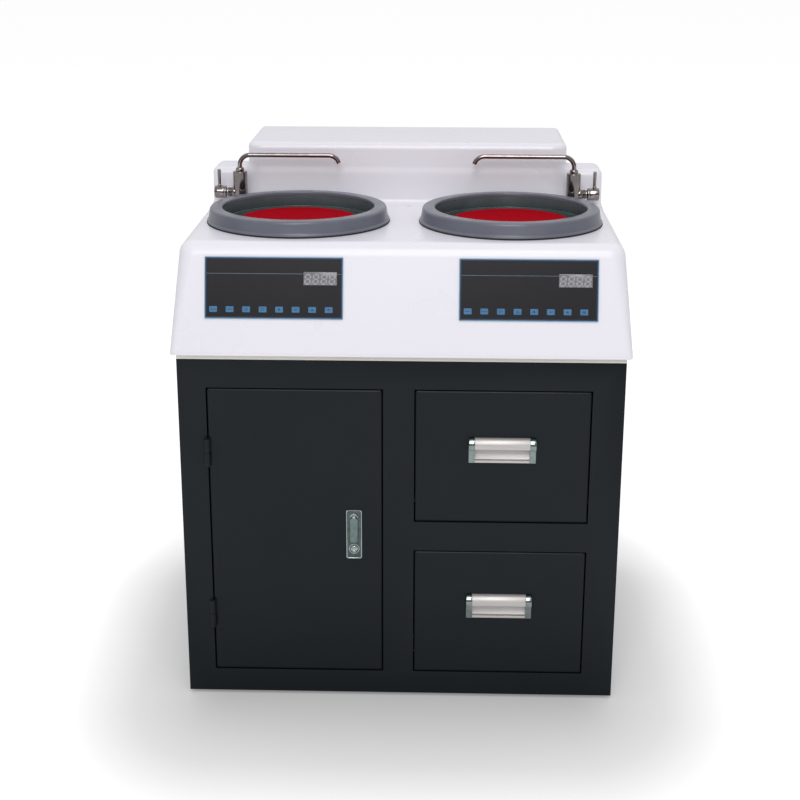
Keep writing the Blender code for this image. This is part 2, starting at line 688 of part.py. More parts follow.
def make_drawer(name, bottom, top):
    """A drawer: its box with a rail along each side, its front pan and its pull."""
    left = DRAWER_LEFT + DRAWER_SIDE_ROOM
    right = DRAWER_RIGHT - DRAWER_SIDE_ROOM
    box_front = CABINET_FRONT + LEAF_DEPTH + GAP
    box_back = CABINET_BACK - SHEET - DRAWER_BACK_ROOM
    box_low = Vector((left, box_front, bottom + 0.008))
    box_high = Vector((right, box_back, top - DRAWER_TOP_ROOM))
    box = block(name + "_box", box_low, box_high, "zinc_sheet")
    wall = Vector((SHEET, SHEET, SHEET))
    cut(box, block(name + "_inside", box_low + wall, box_high + Vector((-SHEET, -SHEET, SHEET))))
    runner_bottom = bottom + 0.030
    for side, wall_x in ((-1, left), (1, right)):
        runner_name = f"{name}_runner_{'left' if side < 0 else 'right'}"
        make_runner(runner_name, side, runner_bottom)
        rail_x = sorted((wall_x - side * SHEET / 2, wall_x + side * (DRAWER_SIDE_ROOM - RAIL_ROOM)))
        rail_bottom = runner_bottom + RUNNER_SHEET + GAP
        rail_low = (rail_x[0], box_front + SHEET, rail_bottom)
        rail_high = (rail_x[1], box_back, rail_bottom + RAIL_HEIGHT)
        join(box, block(f"{runner_name}_rail", rail_low, rail_high))
    front = leaf_pan(name + "_front", DRAWER_LEFT, DRAWER_RIGHT, bottom, top)
    middle = Vector(((DRAWER_LEFT + DRAWER_RIGHT) / 2, CABINET_FRONT, (bottom + top) / 2 + 0.013))
    pull = make_pull(name + "_pull", middle)
    hole = Vector((PULL_WIDTH / 2 + GAP, 0.01, PULL_HEIGHT / 2 + GAP))
    cut(front, block(name + "_pull_hole", middle - hole, middle + hole))
    empty = axis_empty(name + "_slide", (middle.x, box_front, box_low.z))
    carry(empty, box, front, pull)


def pull_hood(steps=5):
    """The hood's outer curve in side view, from the pull's top edge out and down to the hood's lower edge."""
    top = PULL_HEIGHT / 2
    reach = PULL_PROUD - PULL_FLANGE
    points = []
    for step in range(steps + 1):
        angle = math.radians(90 * step / steps)
        points.append((-PULL_FLANGE - reach * math.sin(angle), top - 0.7 * PULL_HOOD * (1 - math.cos(angle))))
    points.append((-PULL_PROUD, top - PULL_HOOD))
    return points


def pull_profile():
    """The pull in side view, as one closed strip: a hood, a back let into the front and a lower lip."""
    top = PULL_HEIGHT / 2
    hood = pull_hood()
    inner = [(y + PULL_WALL, z - PULL_WALL) for y, z in hood[1:-1]]
    hood_end = (-PULL_PROUD + PULL_WALL, top - PULL_HOOD)
    back = PULL_RECESS - PULL_WALL
    inside = [
        (back, top - PULL_WALL),
        (back, -top + PULL_LIP + PULL_RECESS),
        (0.6 * back, -top + PULL_LIP + 0.4 * PULL_RECESS),
        (0.0, -top + PULL_LIP),
        (-PULL_FLANGE, -top + PULL_LIP),
    ]
    outside = [
        (-PULL_FLANGE, -top),
        (PULL_WALL, -top),
        (0.6 * back + PULL_WALL, -top + PULL_LIP + 0.4 * PULL_RECESS - PULL_WALL),
        (PULL_RECESS, -top + PULL_LIP + PULL_RECESS - PULL_WALL),
        (PULL_RECESS, top),
    ]
    return [*hood, hood_end, *inner[::-1], *inside, *outside]


def make_pull(name, middle):
    """A hooded finger pull let into a drawer's front: one extruded strip between two solid end caps."""
    half = PULL_WIDTH / 2
    across = Matrix(((0, 0, 1, 0), (1, 0, 0, 0), (0, 1, 0, 0), (0, 0, 0, 1)))
    start = Matrix.Translation(middle + Vector((-half + PULL_CAP / 2, 0, 0))) @ across
    pull = plate(name, pull_profile(), PULL_WIDTH - PULL_CAP, start, "pull_aluminium")
    top = PULL_HEIGHT / 2
    step_z = top - PULL_HOOD - 0.003
    side = [*pull_hood(), (-PULL_FLANGE - 0.002, step_z), (-PULL_FLANGE - 0.001, -top)]
    side += [(PULL_RECESS - 0.001, -top), (PULL_RECESS - 0.001, top)]
    for end, low in (("left", -half), ("right", half - PULL_CAP)):
        turn = Matrix.Translation(middle + Vector((low, 0, 0))) @ across
        grown = [(y * 1.02 - 0.0002, z) for y, z in side]
        join(pull, plate(f"{name}_cap_{end}", grown, PULL_CAP, turn))
    return pull


# ---------------------------------------------------------------- base plate and housing
def make_base_plate():
    """The folded tray, open below, that closes the cabinet and carries motors, bearings and housing."""
    base = block(
        "base_plate",
        (-CABINET_HALF, CABINET_FRONT, PLATE_BOTTOM),
        (CABINET_HALF, CABINET_BACK, PLATE_TOP),
        "cream_plate",
    )
    hollow = block(
        "base_hollow",
        (-CABINET_HALF + BASE_SHEET, CABINET_FRONT + BASE_SHEET, PLATE_BOTTOM - SHEET),
        (CABINET_HALF - BASE_SHEET, CABINET_BACK - BASE_SHEET, PLATE_TOP - BASE_SHEET),
    )
    cut(base, hollow)
    for side, right in (("left", -1), ("right", 1)):
        spindle = (right * BOWL_X, BOWL_Y, 0)
        shaft = (right * BOWL_X, MOTOR_Y, 0)
        low = PLATE_BOTTOM - SHEET
        high = PLATE_TOP + SHEET
        cut(base, rod(f"spindle_hole_{side}", 2 * SPINDLE_RADIUS, low, high, spindle))
        cut(base, rod(f"shaft_hole_{side}", 2 * MOTOR_SHAFT_RADIUS, low, high, shaft))
    return base


def housing_sections(inset, bottom, top, edge):
    """Sections of the housing's lower body, its walls leaning in and its top edge rounded."""
    lean_x = (HOUSING_WIDTH / 2 - DECK_HALF) / (DECK_Z - HOUSING_BOTTOM)
    lean_y = FOLD_SETBACK / (DECK_Z - HOUSING_BOTTOM)
    levels = [(bottom, 0.0)]
    for step in range(5):
        angle = math.radians(90 * step / 4)
        levels.append((top - edge + edge * math.sin(angle), edge * (1 - math.cos(angle))))
    sections = []
    for height, drawn_in in levels:
        rise = height - HOUSING_BOTTOM
        half = HOUSING_WIDTH / 2 - lean_x * rise - inset - drawn_in
        front = -HALF_DEPTH + lean_y * rise + inset + drawn_in
        back = HALF_DEPTH - inset - drawn_in
        radius = max(HOUSING_CORNER - inset - drawn_in, 0.003)
        sections.append(rounded_section(height, half, front, back, radius))
    return sections


def hump_sections(inset, bottom, top, edge):
    """Sections of the raised back: its face leans back and its top edge is rounded."""
    lean = HUMP_LEAN / (HUMP_TOP - DECK_Z)
    levels = [(bottom, 0.0)]
    for step in range(4):
        angle = math.radians(90 * step / 3)
        levels.append((top - edge + edge * math.sin(angle), edge * (1 - math.cos(angle))))
    sections = []
    for height, drawn_in in levels:
        front = HUMP_FRONT + lean * (height - DECK_Z) + inset + drawn_in
        back = HALF_DEPTH - REAR_STEP - inset - drawn_in
        radius = max(HUMP_CORNER - inset - drawn_in, 0.003)
        sections.append(rounded_section(height, HUMP_HALF - inset - drawn_in, front, back, radius))
    return sections


def shoulder(name, inset, bottom):
    """The lower step that runs the housing's whole width behind the deck, sloping down at the rear."""
    lean = HUMP_LEAN / (HUMP_TOP - DECK_Z)
    top = SHOULDER_TOP - inset
    front = HUMP_FRONT + SHOULDER_SETBACK + inset
    back = HALF_DEPTH - 2 * REAR_STEP - inset
    outline = [
        (front + lean * (bottom - DECK_Z), bottom),
        (back, bottom),
        (back, SHOULDER_REAR_Z - inset),
        (SHOULDER_BACK, top),
        (front + lean * (top - DECK_Z), top),
    ]
    half = DECK_HALF - FOLD_RADIUS / 4 - inset
    turn = Matrix(((0, 0, 1, -half), (1, 0, 0, 0), (0, 1, 0, 0), (0, 0, 0, 1)))
    return plate(name, outline, 2 * half, turn)


def slope_matrix(x, height):
    """The frame of the sloping front at a height: X right, Y up the slope, Z straight out of it."""
    rise = height - HOUSING_BOTTOM
    y = -HALF_DEPTH + math.tan(SLOPE) * rise
    return Matrix.Translation((x, y, height)) @ Matrix.Rotation(math.pi / 2 - SLOPE, 4, "X")


def panel_x(side):
    return side * (BOWL_X + PANEL_FROM_BOWL_X)


def make_housing():
    """The moulded shell, hollow and open below, with its bowls', taps' and panels' openings."""
    housing = stacked(
        "top_housing", housing_sections(0.0, HOUSING_BOTTOM, DECK_Z, FOLD_RADIUS), "white_shell"
    )
    step = soften(shoulder("housing_shoulder", 0.0, DECK_Z - FOLD_RADIUS), SHOULDER_EDGE)
    hump = stacked("housing_hump", hump_sections(0.0, DECK_Z - FOLD_RADIUS, HUMP_TOP, HUMP_EDGE))
    join(housing, step, hump)
    inner_top = DECK_Z - HOUSING_WALL
    floor = HOUSING_BOTTOM + HOUSING_WALL
    inner_edge = FOLD_RADIUS - HOUSING_WALL
    body = stacked("inside_body", housing_sections(HOUSING_WALL, floor, inner_top, inner_edge))
    inner_step = shoulder("inside_shoulder", HOUSING_WALL, DECK_Z - 2 * FOLD_RADIUS)
    hump_top = HUMP_TOP - HOUSING_WALL
    inner_hump = stacked(
        "inside_hump",
        hump_sections(HOUSING_WALL, DECK_Z - 2 * FOLD_RADIUS - SHEET, hump_top, HUMP_EDGE - HOUSING_WALL),
    )
    underside = block(
        "inside_mouth",
        (-HOUSING_WIDTH / 2 + HOUSING_FLANGE, -HALF_DEPTH + HOUSING_FLANGE, HOUSING_BOTTOM - SHEET),
        (HOUSING_WIDTH / 2 - HOUSING_FLANGE, HALF_DEPTH - HOUSING_FLANGE, floor + SHEET),
    )
    cut(housing, body, inner_step, inner_hump, underside)
    for side, right in (("left", -1), ("right", 1)):
        bowl = (right * BOWL_X, BOWL_Y, 0)
        hole = BOWL_RADIUS + BOWL_WALL + 0.003
        low = inner_top - SHEET
        cut(housing, rod(f"bowl_hole_{side}", hole, low, DECK_Z + SHEET, bowl, "Z", BOWL_STEPS))
        tap = (right * TAP_X, TAP_Y, 0)
        cut(housing, rod(f"tap_hole_{side}", TAP_SHANK_RADIUS + GAP, low, DECK_Z + SHEET, tap))
        window = block(
            f"panel_window_{side}",
            (-PANEL_WIDTH / 2 + PANEL_CUTOUT_MARGIN, -PANEL_HEIGHT / 2 + PANEL_CUTOUT_MARGIN / 2, -0.02),
            (PANEL_WIDTH / 2 - 0.006, PANEL_HEIGHT / 2 - PANEL_CUTOUT_MARGIN / 2, 0.02),
        )
        window.matrix_world = slope_matrix(panel_x(right), PANEL_CENTRE_Z)
        cut(housing, window)
    rear = HALF_DEPTH
    outlet = (0, rear, DRAIN_PIPE_Z)
    cut(housing, rod("drain_hole", DRAIN_OUTLET_RADIUS + GAP, -0.02, 0.02, outlet, "Y"))
    half = Vector((INLET_WIDTH / 2 + GAP, 0.02, INLET_HEIGHT / 2 + GAP))
    place = Vector((INLET_X, rear, INLET_Z))
    cut(housing, block("inlet_hole", place - half, place + half))
    return housing


# ---------------------------------------------------------------- bowls and drive
def make_bowl(side, right):
    """The bowl under a disc: a turned cup hung by its flange, with a hub round the spindle and a drain."""
    centre = (right * BOWL_X, BOWL_Y, 0)
    base = DECK_Z + GAP
    lip = base + BOWL_FLANGE_THICK
    outer = BOWL_RADIUS + BOWL_WALL
    under = BOWL_FLOOR_Z - BOWL_WALL
    hub = SPINDLE_RADIUS + 0.004
    profile = [
        (hub, under),
        (outer - 0.012, under),
        (outer - 0.003, under + 0.004),
        (outer, under + 0.013),
        (outer, base),
        (BOWL_FLANGE, base),
        (BOWL_FLANGE, lip),
        (BOWL_RADIUS, lip),
        (BOWL_RADIUS, BOWL_FLOOR_Z + 0.011),
        (BOWL_RADIUS - 0.003, BOWL_FLOOR_Z + 0.003),
        (BOWL_RADIUS - 0.011, BOWL_FLOOR_Z),
        (hub + 0.004, BOWL_FLOOR_Z),
        (hub + BOWL_WALL, BOWL_HUB_TOP),
        (hub, BOWL_HUB_TOP),
    ]
    bowl = turned(f"bowl_{side}", profile, centre, "Z", BOWL_STEPS, "dark_bowl")
    drain = (right * (BOWL_X - DRAIN_FROM_CENTRE), BOWL_Y, 0)
    stub = rod(f"drain_stub_{side}", DRAIN_RADIUS, under - DRAIN_STUB, BOWL_FLOOR_Z - 0.001, drain)
    bore = rod(f"drain_bore_{side}", DRAIN_RADIUS - SHEET, under - 2 * DRAIN_STUB, BOWL_FLOOR_Z + 0.01, drain)
    cut(join(bowl, stub), bore)
    return bowl


def make_splash_ring(side, right):
    """The grey ring round a bowl: a rounded rim, a wall that slopes outwards and a small skirt."""
    centre = (right * BOWL_X, BOWL_Y, 0)
    base = DECK_Z + GAP
    over_flange = base + BOWL_FLANGE_THICK + GAP
    wide = RING_OUTER - RING_INNER
    profile = [
        (RING_INNER, over_flange),
        (BOWL_FLANGE + GAP, over_flange),
        (BOWL_FLANGE + GAP, base),
        (RING_OUTER, base),
        (RING_OUTER, base + 0.003),
        (RING_OUTER - 0.15 * wide, base + 0.006),
        (RING_OUTER - 0.34 * wide, RING_TOP - 0.004),
        (RING_OUTER - 0.42 * wide, RING_TOP - 0.001),
        (RING_OUTER - 0.52 * wide, RING_TOP),
        (RING_INNER + 0.14 * wide, RING_TOP),
        (RING_INNER + 0.04 * wide, RING_TOP - 0.001),
        (RING_INNER, RING_TOP - 0.003),
    ]
    return turned(f"splash_ring_{side}", profile, centre, "Z", BOWL_STEPS, "grey_ring")


def make_bearing_housing(side, right):
    """The flanged bearing sleeve that stands on the base plate and guides a spindle."""
    centre = (right * BOWL_X, BOWL_Y, 0)
    bore = SPINDLE_RADIUS + GAP
    foot = PLATE_TOP + GAP
    top = BOWL_FLOOR_Z - BOWL_WALL - 2 * GAP
    profile = [
        (bore, foot),
        (BEARING_FLANGE_RADIUS, foot),
        (BEARING_FLANGE_RADIUS, foot + BEARING_FLANGE),
        (BEARING_RADIUS, foot + BEARING_FLANGE),
        (BEARING_RADIUS, top),
        (bore, top),
    ]
    return turned(f"bearing_housing_{side}", profile, centre, "Z", TURNED_STEPS, "steel")


def pulley_profile(radius):
    """A flanged pulley's outer profile, from its lower face to its upper one."""
    lip = radius + PULLEY_LIP
    return [
        (lip, PULLEY_BOTTOM),
        (lip, PULLEY_BOTTOM + PULLEY_LIP_THICK),
        (radius, PULLEY_BOTTOM + PULLEY_LIP_THICK),
        (radius, PULLEY_TOP - PULLEY_LIP_THICK),
        (lip, PULLEY_TOP - PULLEY_LIP_THICK),
        (lip, PULLEY_TOP),
    ]


def make_spindle(side, right):
    """A spindle: its pulley under the base plate, its shaft and the drive plate under the platen."""
    place = Vector((right * BOWL_X, BOWL_Y, PLATEN_BOTTOM - GAP))
    plate_top = PLATEN_BOTTOM - GAP
    profile = [(0, PULLEY_BOTTOM), *pulley_profile(SPINDLE_PULLEY_RADIUS)]
    profile += [
        (SPINDLE_RADIUS, PULLEY_TOP),
        (SPINDLE_RADIUS, plate_top - DRIVE_PLATE),
        (DRIVE_PLATE_RADIUS, plate_top - DRIVE_PLATE),
        (DRIVE_PLATE_RADIUS, plate_top),
        (0, plate_top),
    ]
    spindle = turned(f"spindle_{side}", profile, (place.x, place.y, 0), "Z", TURNED_STEPS, "steel")
    return move_origin(spindle, place)


def make_disc(side, right):
    """The platen and the red polishing cloth on it."""
    centre = Vector((right * BOWL_X, BOWL_Y, 0))
    rim = DISC_RADIUS
    profile = [(0, PLATEN_BOTTOM), (rim - 0.004, PLATEN_BOTTOM), (rim, PLATEN_BOTTOM + 0.004)]
    profile += [(rim, PLATEN_TOP), (0, PLATEN_TOP)]
    platen = turned(f"platen_{side}", profile, centre, "Z", BOWL_STEPS, "platen_aluminium")
    rim -= SHEET / 2
    profile = [(0, DISC_TOP - CLOTH), (rim, DISC_TOP - CLOTH), (rim, DISC_TOP), (0, DISC_TOP)]
    cloth = turned(f"polishing_cloth_{side}", profile, centre, "Z", BOWL_STEPS, "red_cloth")
    place = centre + Vector((0, 0, PLATEN_TOP))
    return move_origin(platen, place), move_origin(cloth, place)


def make_motor(side, right):
    """A vertical motor on the base plate: flange, finned can and rear cap, bored for its shaft."""
    centre = (right * BOWL_X, MOTOR_Y, 0)
    foot = PLATE_TOP + GAP
    top = foot + MOTOR_HEIGHT
    bore = MOTOR_SHAFT_RADIUS + GAP
    profile = [
        (bore, foot),
        (MOTOR_FLANGE_RADIUS, foot),
        (MOTOR_FLANGE_RADIUS, foot + 0.010),
        (MOTOR_RADIUS, foot + 0.012),
        (MOTOR_RADIUS, top - 0.030),
        (MOTOR_RADIUS - 0.003, top - 0.028),
        (MOTOR_RADIUS - 0.003, top - 0.006),
        (MOTOR_RADIUS - 0.009, top),
        (0, top),
        (0, top - 0.030),
        (bore, top - 0.030),
    ]
    return turned(f"motor_{side}", profile, centre, "Z", TURNED_STEPS, "motor_paint")


def make_motor_pulley(side, right):
    """A motor's shaft with the small pulley on its lower end."""
    place = Vector((right * BOWL_X, MOTOR_Y, PULLEY_TOP))
    shaft_top = PLATE_TOP + MOTOR_HEIGHT - 0.032
    profile = [(0, PULLEY_BOTTOM), *pulley_profile(MOTOR_PULLEY_RADIUS)]
    profile += [(MOTOR_SHAFT_RADIUS, PULLEY_TOP), (MOTOR_SHAFT_RADIUS, shaft_top), (0, shaft_top)]
    pulley = turned(f"motor_pulley_{side}", profile, (place.x, place.y, 0), "Z", TURNED_STEPS, "steel")
    return move_origin(pulley, place)


def belt_loop(grow, steps=14):
    """The outline of an open belt round both pulleys, its flats no nearer to their faces than grow."""
    span = MOTOR_Y - BOWL_Y
    outside = 1 / math.cos(math.pi / steps / 1.7)
    big = (SPINDLE_PULLEY_RADIUS + grow) * outside
    small = (MOTOR_PULLEY_RADIUS + grow) * outside
    lean = math.asin((big - small) / span)
    points = []
    for step in range(steps + 1):
        angle = lean + (math.pi - 2 * lean) * step / steps
        points.append((small * math.cos(angle), span + small * math.sin(angle)))
    for step in range(steps + 1):
        angle = math.pi - lean + (math.pi + 2 * lean) * step / steps
        points.append((big * math.cos(angle), big * math.sin(angle)))
    return points


def make_belt(side, right):
    """The endless belt from a motor's pulley to its spindle's."""
    turn = Matrix.Translation((right * BOWL_X, BOWL_Y, BELT_BOTTOM))
    belt = plate(f"drive_belt_{side}", belt_loop(GAP + BELT_THICK), BELT_WIDTH, turn, "black_rubber")
    through = Matrix.Translation((right * BOWL_X, BOWL_Y, BELT_BOTTOM - SHEET))
    return cut(belt, plate(f"belt_inside_{side}", belt_loop(GAP), BELT_WIDTH + 2 * SHEET, through))


def make_drain_pipe():
    """The drain pipe: a cross pipe with a cup under each bowl's stub, and an outlet through the rear."""
    x = BOWL_X - DRAIN_FROM_CENTRE
    cup = DRAIN_RADIUS + GAP + SHEET
    reach = x + cup
    stub_end = BOWL_FLOOR_Z - BOWL_WALL - DRAIN_STUB
    middle = (0, BOWL_Y, DRAIN_PIPE_Z)
    pipe = rod("drain_pipe", DRAIN_PIPE_RADIUS, -reach, reach, middle, "X", FINE_STEPS, "drain_plastic")
    outlet_end = HALF_DEPTH - SHEET
    join(pipe, rod("drain_outlet", DRAIN_OUTLET_RADIUS, BOWL_Y, outlet_end, (0, 0, DRAIN_PIPE_Z), "Y"))
    for side, right in (("left", -1), ("right", 1)):
        centre = (right * x, BOWL_Y, 0)
        join(pipe, rod(f"drain_cup_{side}", cup, DRAIN_PIPE_Z, stub_end + 0.008, centre))
        cut(pipe, rod(f"cup_bore_{side}", DRAIN_RADIUS + GAP, stub_end - GAP, stub_end + 0.02, centre))
        cut(pipe, rod(f"cup_drop_{side}", DRAIN_RADIUS - SHEET, DRAIN_PIPE_Z, stub_end + 0.01, centre))
    bore = DRAIN_PIPE_RADIUS - SHEET
    cross = rod("drain_cross_bore", bore, -reach + SHEET, reach - SHEET, (0, BOWL_Y, DRAIN_PIPE_Z), "X")
    bore = DRAIN_OUTLET_RADIUS - SHEET
    run = rod("drain_outlet_bore", bore, BOWL_Y, outlet_end + SHEET, (0, 0, DRAIN_PIPE_Z), "Y")
    return cut(pipe, cross, run)


# ---------------------------------------------------------------- taps
def make_tap_body(side, right):
    """A tap's upright body on the deck, its shank below and the ringed valve neck at its outer side."""
    centre = (right * TAP_X, TAP_Y, 0)
    top = DECK_Z + TAP_HEIGHT
    base = DECK_Z + GAP
    profile = [
        (0, base - TAP_SHANK),
        (TAP_SHANK_RADIUS, base - TAP_SHANK),
        (TAP_SHANK_RADIUS, base),
        (TAP_BASE_RADIUS, base),
        (TAP_BASE_RADIUS, base + 0.003),
        (TAP_RADIUS, base + 0.005),
        (TAP_RADIUS, top - 0.002),
        (TAP_RADIUS - 0.002, top),
        (0, top),
    ]
    body = turned(f"tap_body_{side}", profile, centre, "Z", TURNED_STEPS, "chrome")
    neck = rod(
        f"valve_neck_{side}",
        VALVE_NECK_RADIUS,
        0.0,
        VALVE_NECK_END,
        (right * TAP_X, TAP_Y, DECK_Z + VALVE_Z_ABOVE_DECK),
        "X",
    )
    if right < 0:
        neck.data.transform(Matrix.Translation((-VALVE_NECK_END, 0, 0)))
    join(body, neck)
    stem = (right * (TAP_X + VALVE_NECK_END), TAP_Y, DECK_Z + VALVE_Z_ABOVE_DECK)
    reach = VALVE_STEM + GAP
    cut(body, rod(f"stem_bore_{side}", VALVE_STEM_RADIUS + GAP, -reach, reach, stem, "X"))
    socket = rod(f"spout_socket_{side}", SPOUT_RADIUS + GAP, top - SPOUT_SOCKET - GAP, top + SHEET, centre)
    return cut(body, socket)


def spout_route():
    """The middle line of a spout: up, over, inwards and down at its tip, in X and Z from the tap's top."""
    points = [(0.0, -SPOUT_SOCKET), (0.0, 0.004)]
    height = SPOUT_HEIGHT - TAP_HEIGHT
    for step in range(7):
        angle = math.radians(180 - 15 * step)
        points.append(
            (SPOUT_BEND + SPOUT_BEND * math.cos(angle), height - SPOUT_BEND + SPOUT_BEND * math.sin(angle))
        )
    start = SPOUT_REACH - SPOUT_TIP_BEND
    low = height - SPOUT_TIP_BEND
    for step in range(6):
        angle = math.radians(90 - 10 * step)
        points.append((start + SPOUT_TIP_BEND * math.cos(angle), low + SPOUT_TIP_BEND * math.sin(angle)))
    x, z = points[-1]
    points.append((x + 0.55 * SPOUT_TIP_DROP, z - SPOUT_TIP_DROP))
    return points


def make_spout(side, right):
    """A spout of bent tube that turns in the top of its tap, with a collar where it enters."""
    top = DECK_Z + TAP_HEIGHT
    path = bpy.data.curves.new(f"spout_{side}", "CURVE")
    path.dimensions = "3D"
    path.bevel_depth = SPOUT_RADIUS
    path.bevel_resolution = 3
    path.use_fill_caps = True
    line = path.splines.new("POLY")
    route = spout_route()
    line.points.add(len(route) - 1)
    for point, (x, z) in zip(line.points, route):
        point.co = (-right * x, 0.0, z, 1.0)
    spout = bpy.data.objects.new(f"spout_{side}", path)
    bpy.context.collection.objects.link(spout)
    spout.location = (right * TAP_X, TAP_Y, top)
    bpy.context.view_layer.update()
    mesh = bpy.data.meshes.new_from_object(spout)
    bpy.data.objects.remove(spout)
    bm = bmesh.new()
    bm.from_mesh(mesh)
    tube = finish_mesh(f"spout_{side}", bm, "chrome")
    tube.location = (right * TAP_X, TAP_Y, top)
    collar = turned(
        f"spout_collar_{side}",
        [
            (0, top + GAP),
            (SPOUT_COLLAR_RADIUS, top + GAP),
            (SPOUT_COLLAR_RADIUS, top + 0.005),
            (SPOUT_RADIUS + 0.001, top + 0.007),
            (0, top + 0.007),
        ],
        (right * TAP_X, TAP_Y, 0),
        "Z",
        FINE_STEPS,
    )
    return join(tube, collar)


def make_tap_handle(side, right):
    """The valve's knob with the pin that turns it, on the end of the tap's neck."""
    height = DECK_Z + VALVE_Z_ABOVE_DECK
    start = TAP_X + VALVE_NECK_END + GAP
    end = start + VALVE_LENGTH
    profile = [
        (0, start - VALVE_STEM),
        (VALVE_STEM_RADIUS, start - VALVE_STEM),
        (VALVE_STEM_RADIUS, start),
        (VALVE_RADIUS, start),
        (VALVE_RADIUS, end - 0.0015),
        (VALVE_RADIUS - 0.0015, end),
        (0, end),
    ]
    if right < 0:
        profile = [(radius, -along) for radius, along in profile]
    handle = turned(f"tap_handle_{side}", profile, (0, TAP_Y, height), "X", FINE_STEPS, "chrome")
    pin = (right * (start + 0.6 * VALVE_LENGTH), TAP_Y, height)
    join(handle, rod(f"handle_pin_{side}", LEVER_RADIUS, VALVE_RADIUS / 2, LEVER_HEIGHT, pin, "Z", 12))
    return move_origin(handle, (right * start, TAP_Y, height))


# ---------------------------------------------------------------- control panels and electrics
def make_control_panel(side, right):
    """The printed membrane panel on the sloping front, and the digit display in its window."""
    turn = slope_matrix(panel_x(right), PANEL_CENTRE_Z)
    half = (PANEL_WIDTH / 2, PANEL_HEIGHT / 2)
    face = GAP + PANEL_THICK
    panel = block(f"control_panel_{side}", (-half[0], -half[1], GAP), (half[0], half[1], face), "panel_film")
    panel.matrix_world = turn
    left = half[0] - DISPLAY_FROM_RIGHT - DISPLAY_WIDTH
    bottom = half[1] - DISPLAY_FROM_TOP - DISPLAY_HEIGHT
    low = Vector((left, bottom, face - DISPLAY_DEPTH))
    high = Vector((left + DISPLAY_WIDTH, bottom + DISPLAY_HEIGHT, face))
    display = block(f"speed_display_{side}", low, high, "display_window")
    display.matrix_world = turn
    room = Vector((GAP, GAP, 0.01))
    window = block(f"display_hole_{side}", low - room, high + room)
    window.matrix_world = turn
    return cut(panel, window), display


def make_control_box():
    """The closed box of drive electronics on the base plate, between the two bowls."""
    half = CONTROL_BOX / 2
    middle = Vector((0, CONTROL_BOX_Y, PLATE_TOP + GAP + half.z))
    return block("drive_electronics_box", middle - half, middle + half, "zinc_sheet")


def make_power_inlet():
    """The flanged mains inlet let into the housing's rear wall, with its three blades."""
    rear = HALF_DEPTH
    place = Vector((INLET_X, rear, INLET_Z))
    half = Vector((INLET_WIDTH / 2, 0, INLET_HEIGHT / 2))
    body_low = place - half - Vector((0, INLET_DEPTH, 0))
    body = block("power_inlet", body_low, place + half - Vector((0, SHEET, 0)), "black_plastic")
    mouth = Vector((INLET_WIDTH / 2 - INLET_END_WALL, 0, INLET_HEIGHT / 2 - INLET_WALL))
    floor = Vector((0, INLET_DEPTH - INLET_WALL, 0))
    cut(body, block("inlet_mouth", place - mouth - floor, place + mouth + Vector((0, 0.01, 0))))
    for index, (x, z) in enumerate(((-0.007, -0.004), (0.007, -0.004), (0.0, 0.0))):
        middle = place - floor + Vector((x, INLET_BLADE / 2 - 0.001, z))
        blade = Vector((0.001, INLET_BLADE / 2, 0.002))
        join(body, block(f"inlet_blade_{index}", middle - blade, middle + blade))
    return body


# ---------------------------------------------------------------- assembly
def build():
    for old in list(bpy.data.objects):
        bpy.data.objects.remove(old, do_unlink=True)
    make_carcass()
    make_back_panel()
    make_face_frame()
    make_divider()
    make_feet()
    hinge = axis_empty("door_hinge", HINGE_AXIS)
    leaves = [make_door(), make_latch_body()]
    for name, height in (("upper", UPPER_HINGE_Z), ("lower", LOWER_HINGE_Z)):
        hinge_half(f"hinge_{name}_frame_leaf", height, upper=False)
        leaves.append(hinge_half(f"hinge_{name}_door_leaf", height, upper=True))
    carry(hinge, *leaves, make_latch_spindle(), make_latch_lever(), make_latch_button())
    make_drawer("drawer_upper", UPPER_OPENING_BOTTOM, OPENING_TOP)
    make_drawer("drawer_lower", OPENING_BOTTOM, LOWER_OPENING_TOP)
    make_base_plate()
    make_housing()
    for side, right in (("left", -1), ("right", 1)):
        make_bowl(side, right)
        make_splash_ring(side, right)
        make_bearing_housing(side, right)
        make_spindle(side, right)
        make_disc(side, right)
        make_motor(side, right)
        make_motor_pulley(side, right)
        make_belt(side, right)
        make_tap_body(side, right)
        make_spout(side, right)
        make_tap_handle(side, right)
        make_control_panel(side, right)
    make_drain_pipe()
    make_control_box()
    make_power_inlet()


build()
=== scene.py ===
import itertools
import math

import bmesh
import bpy
import numpy as np
from mathutils import Matrix, Vector


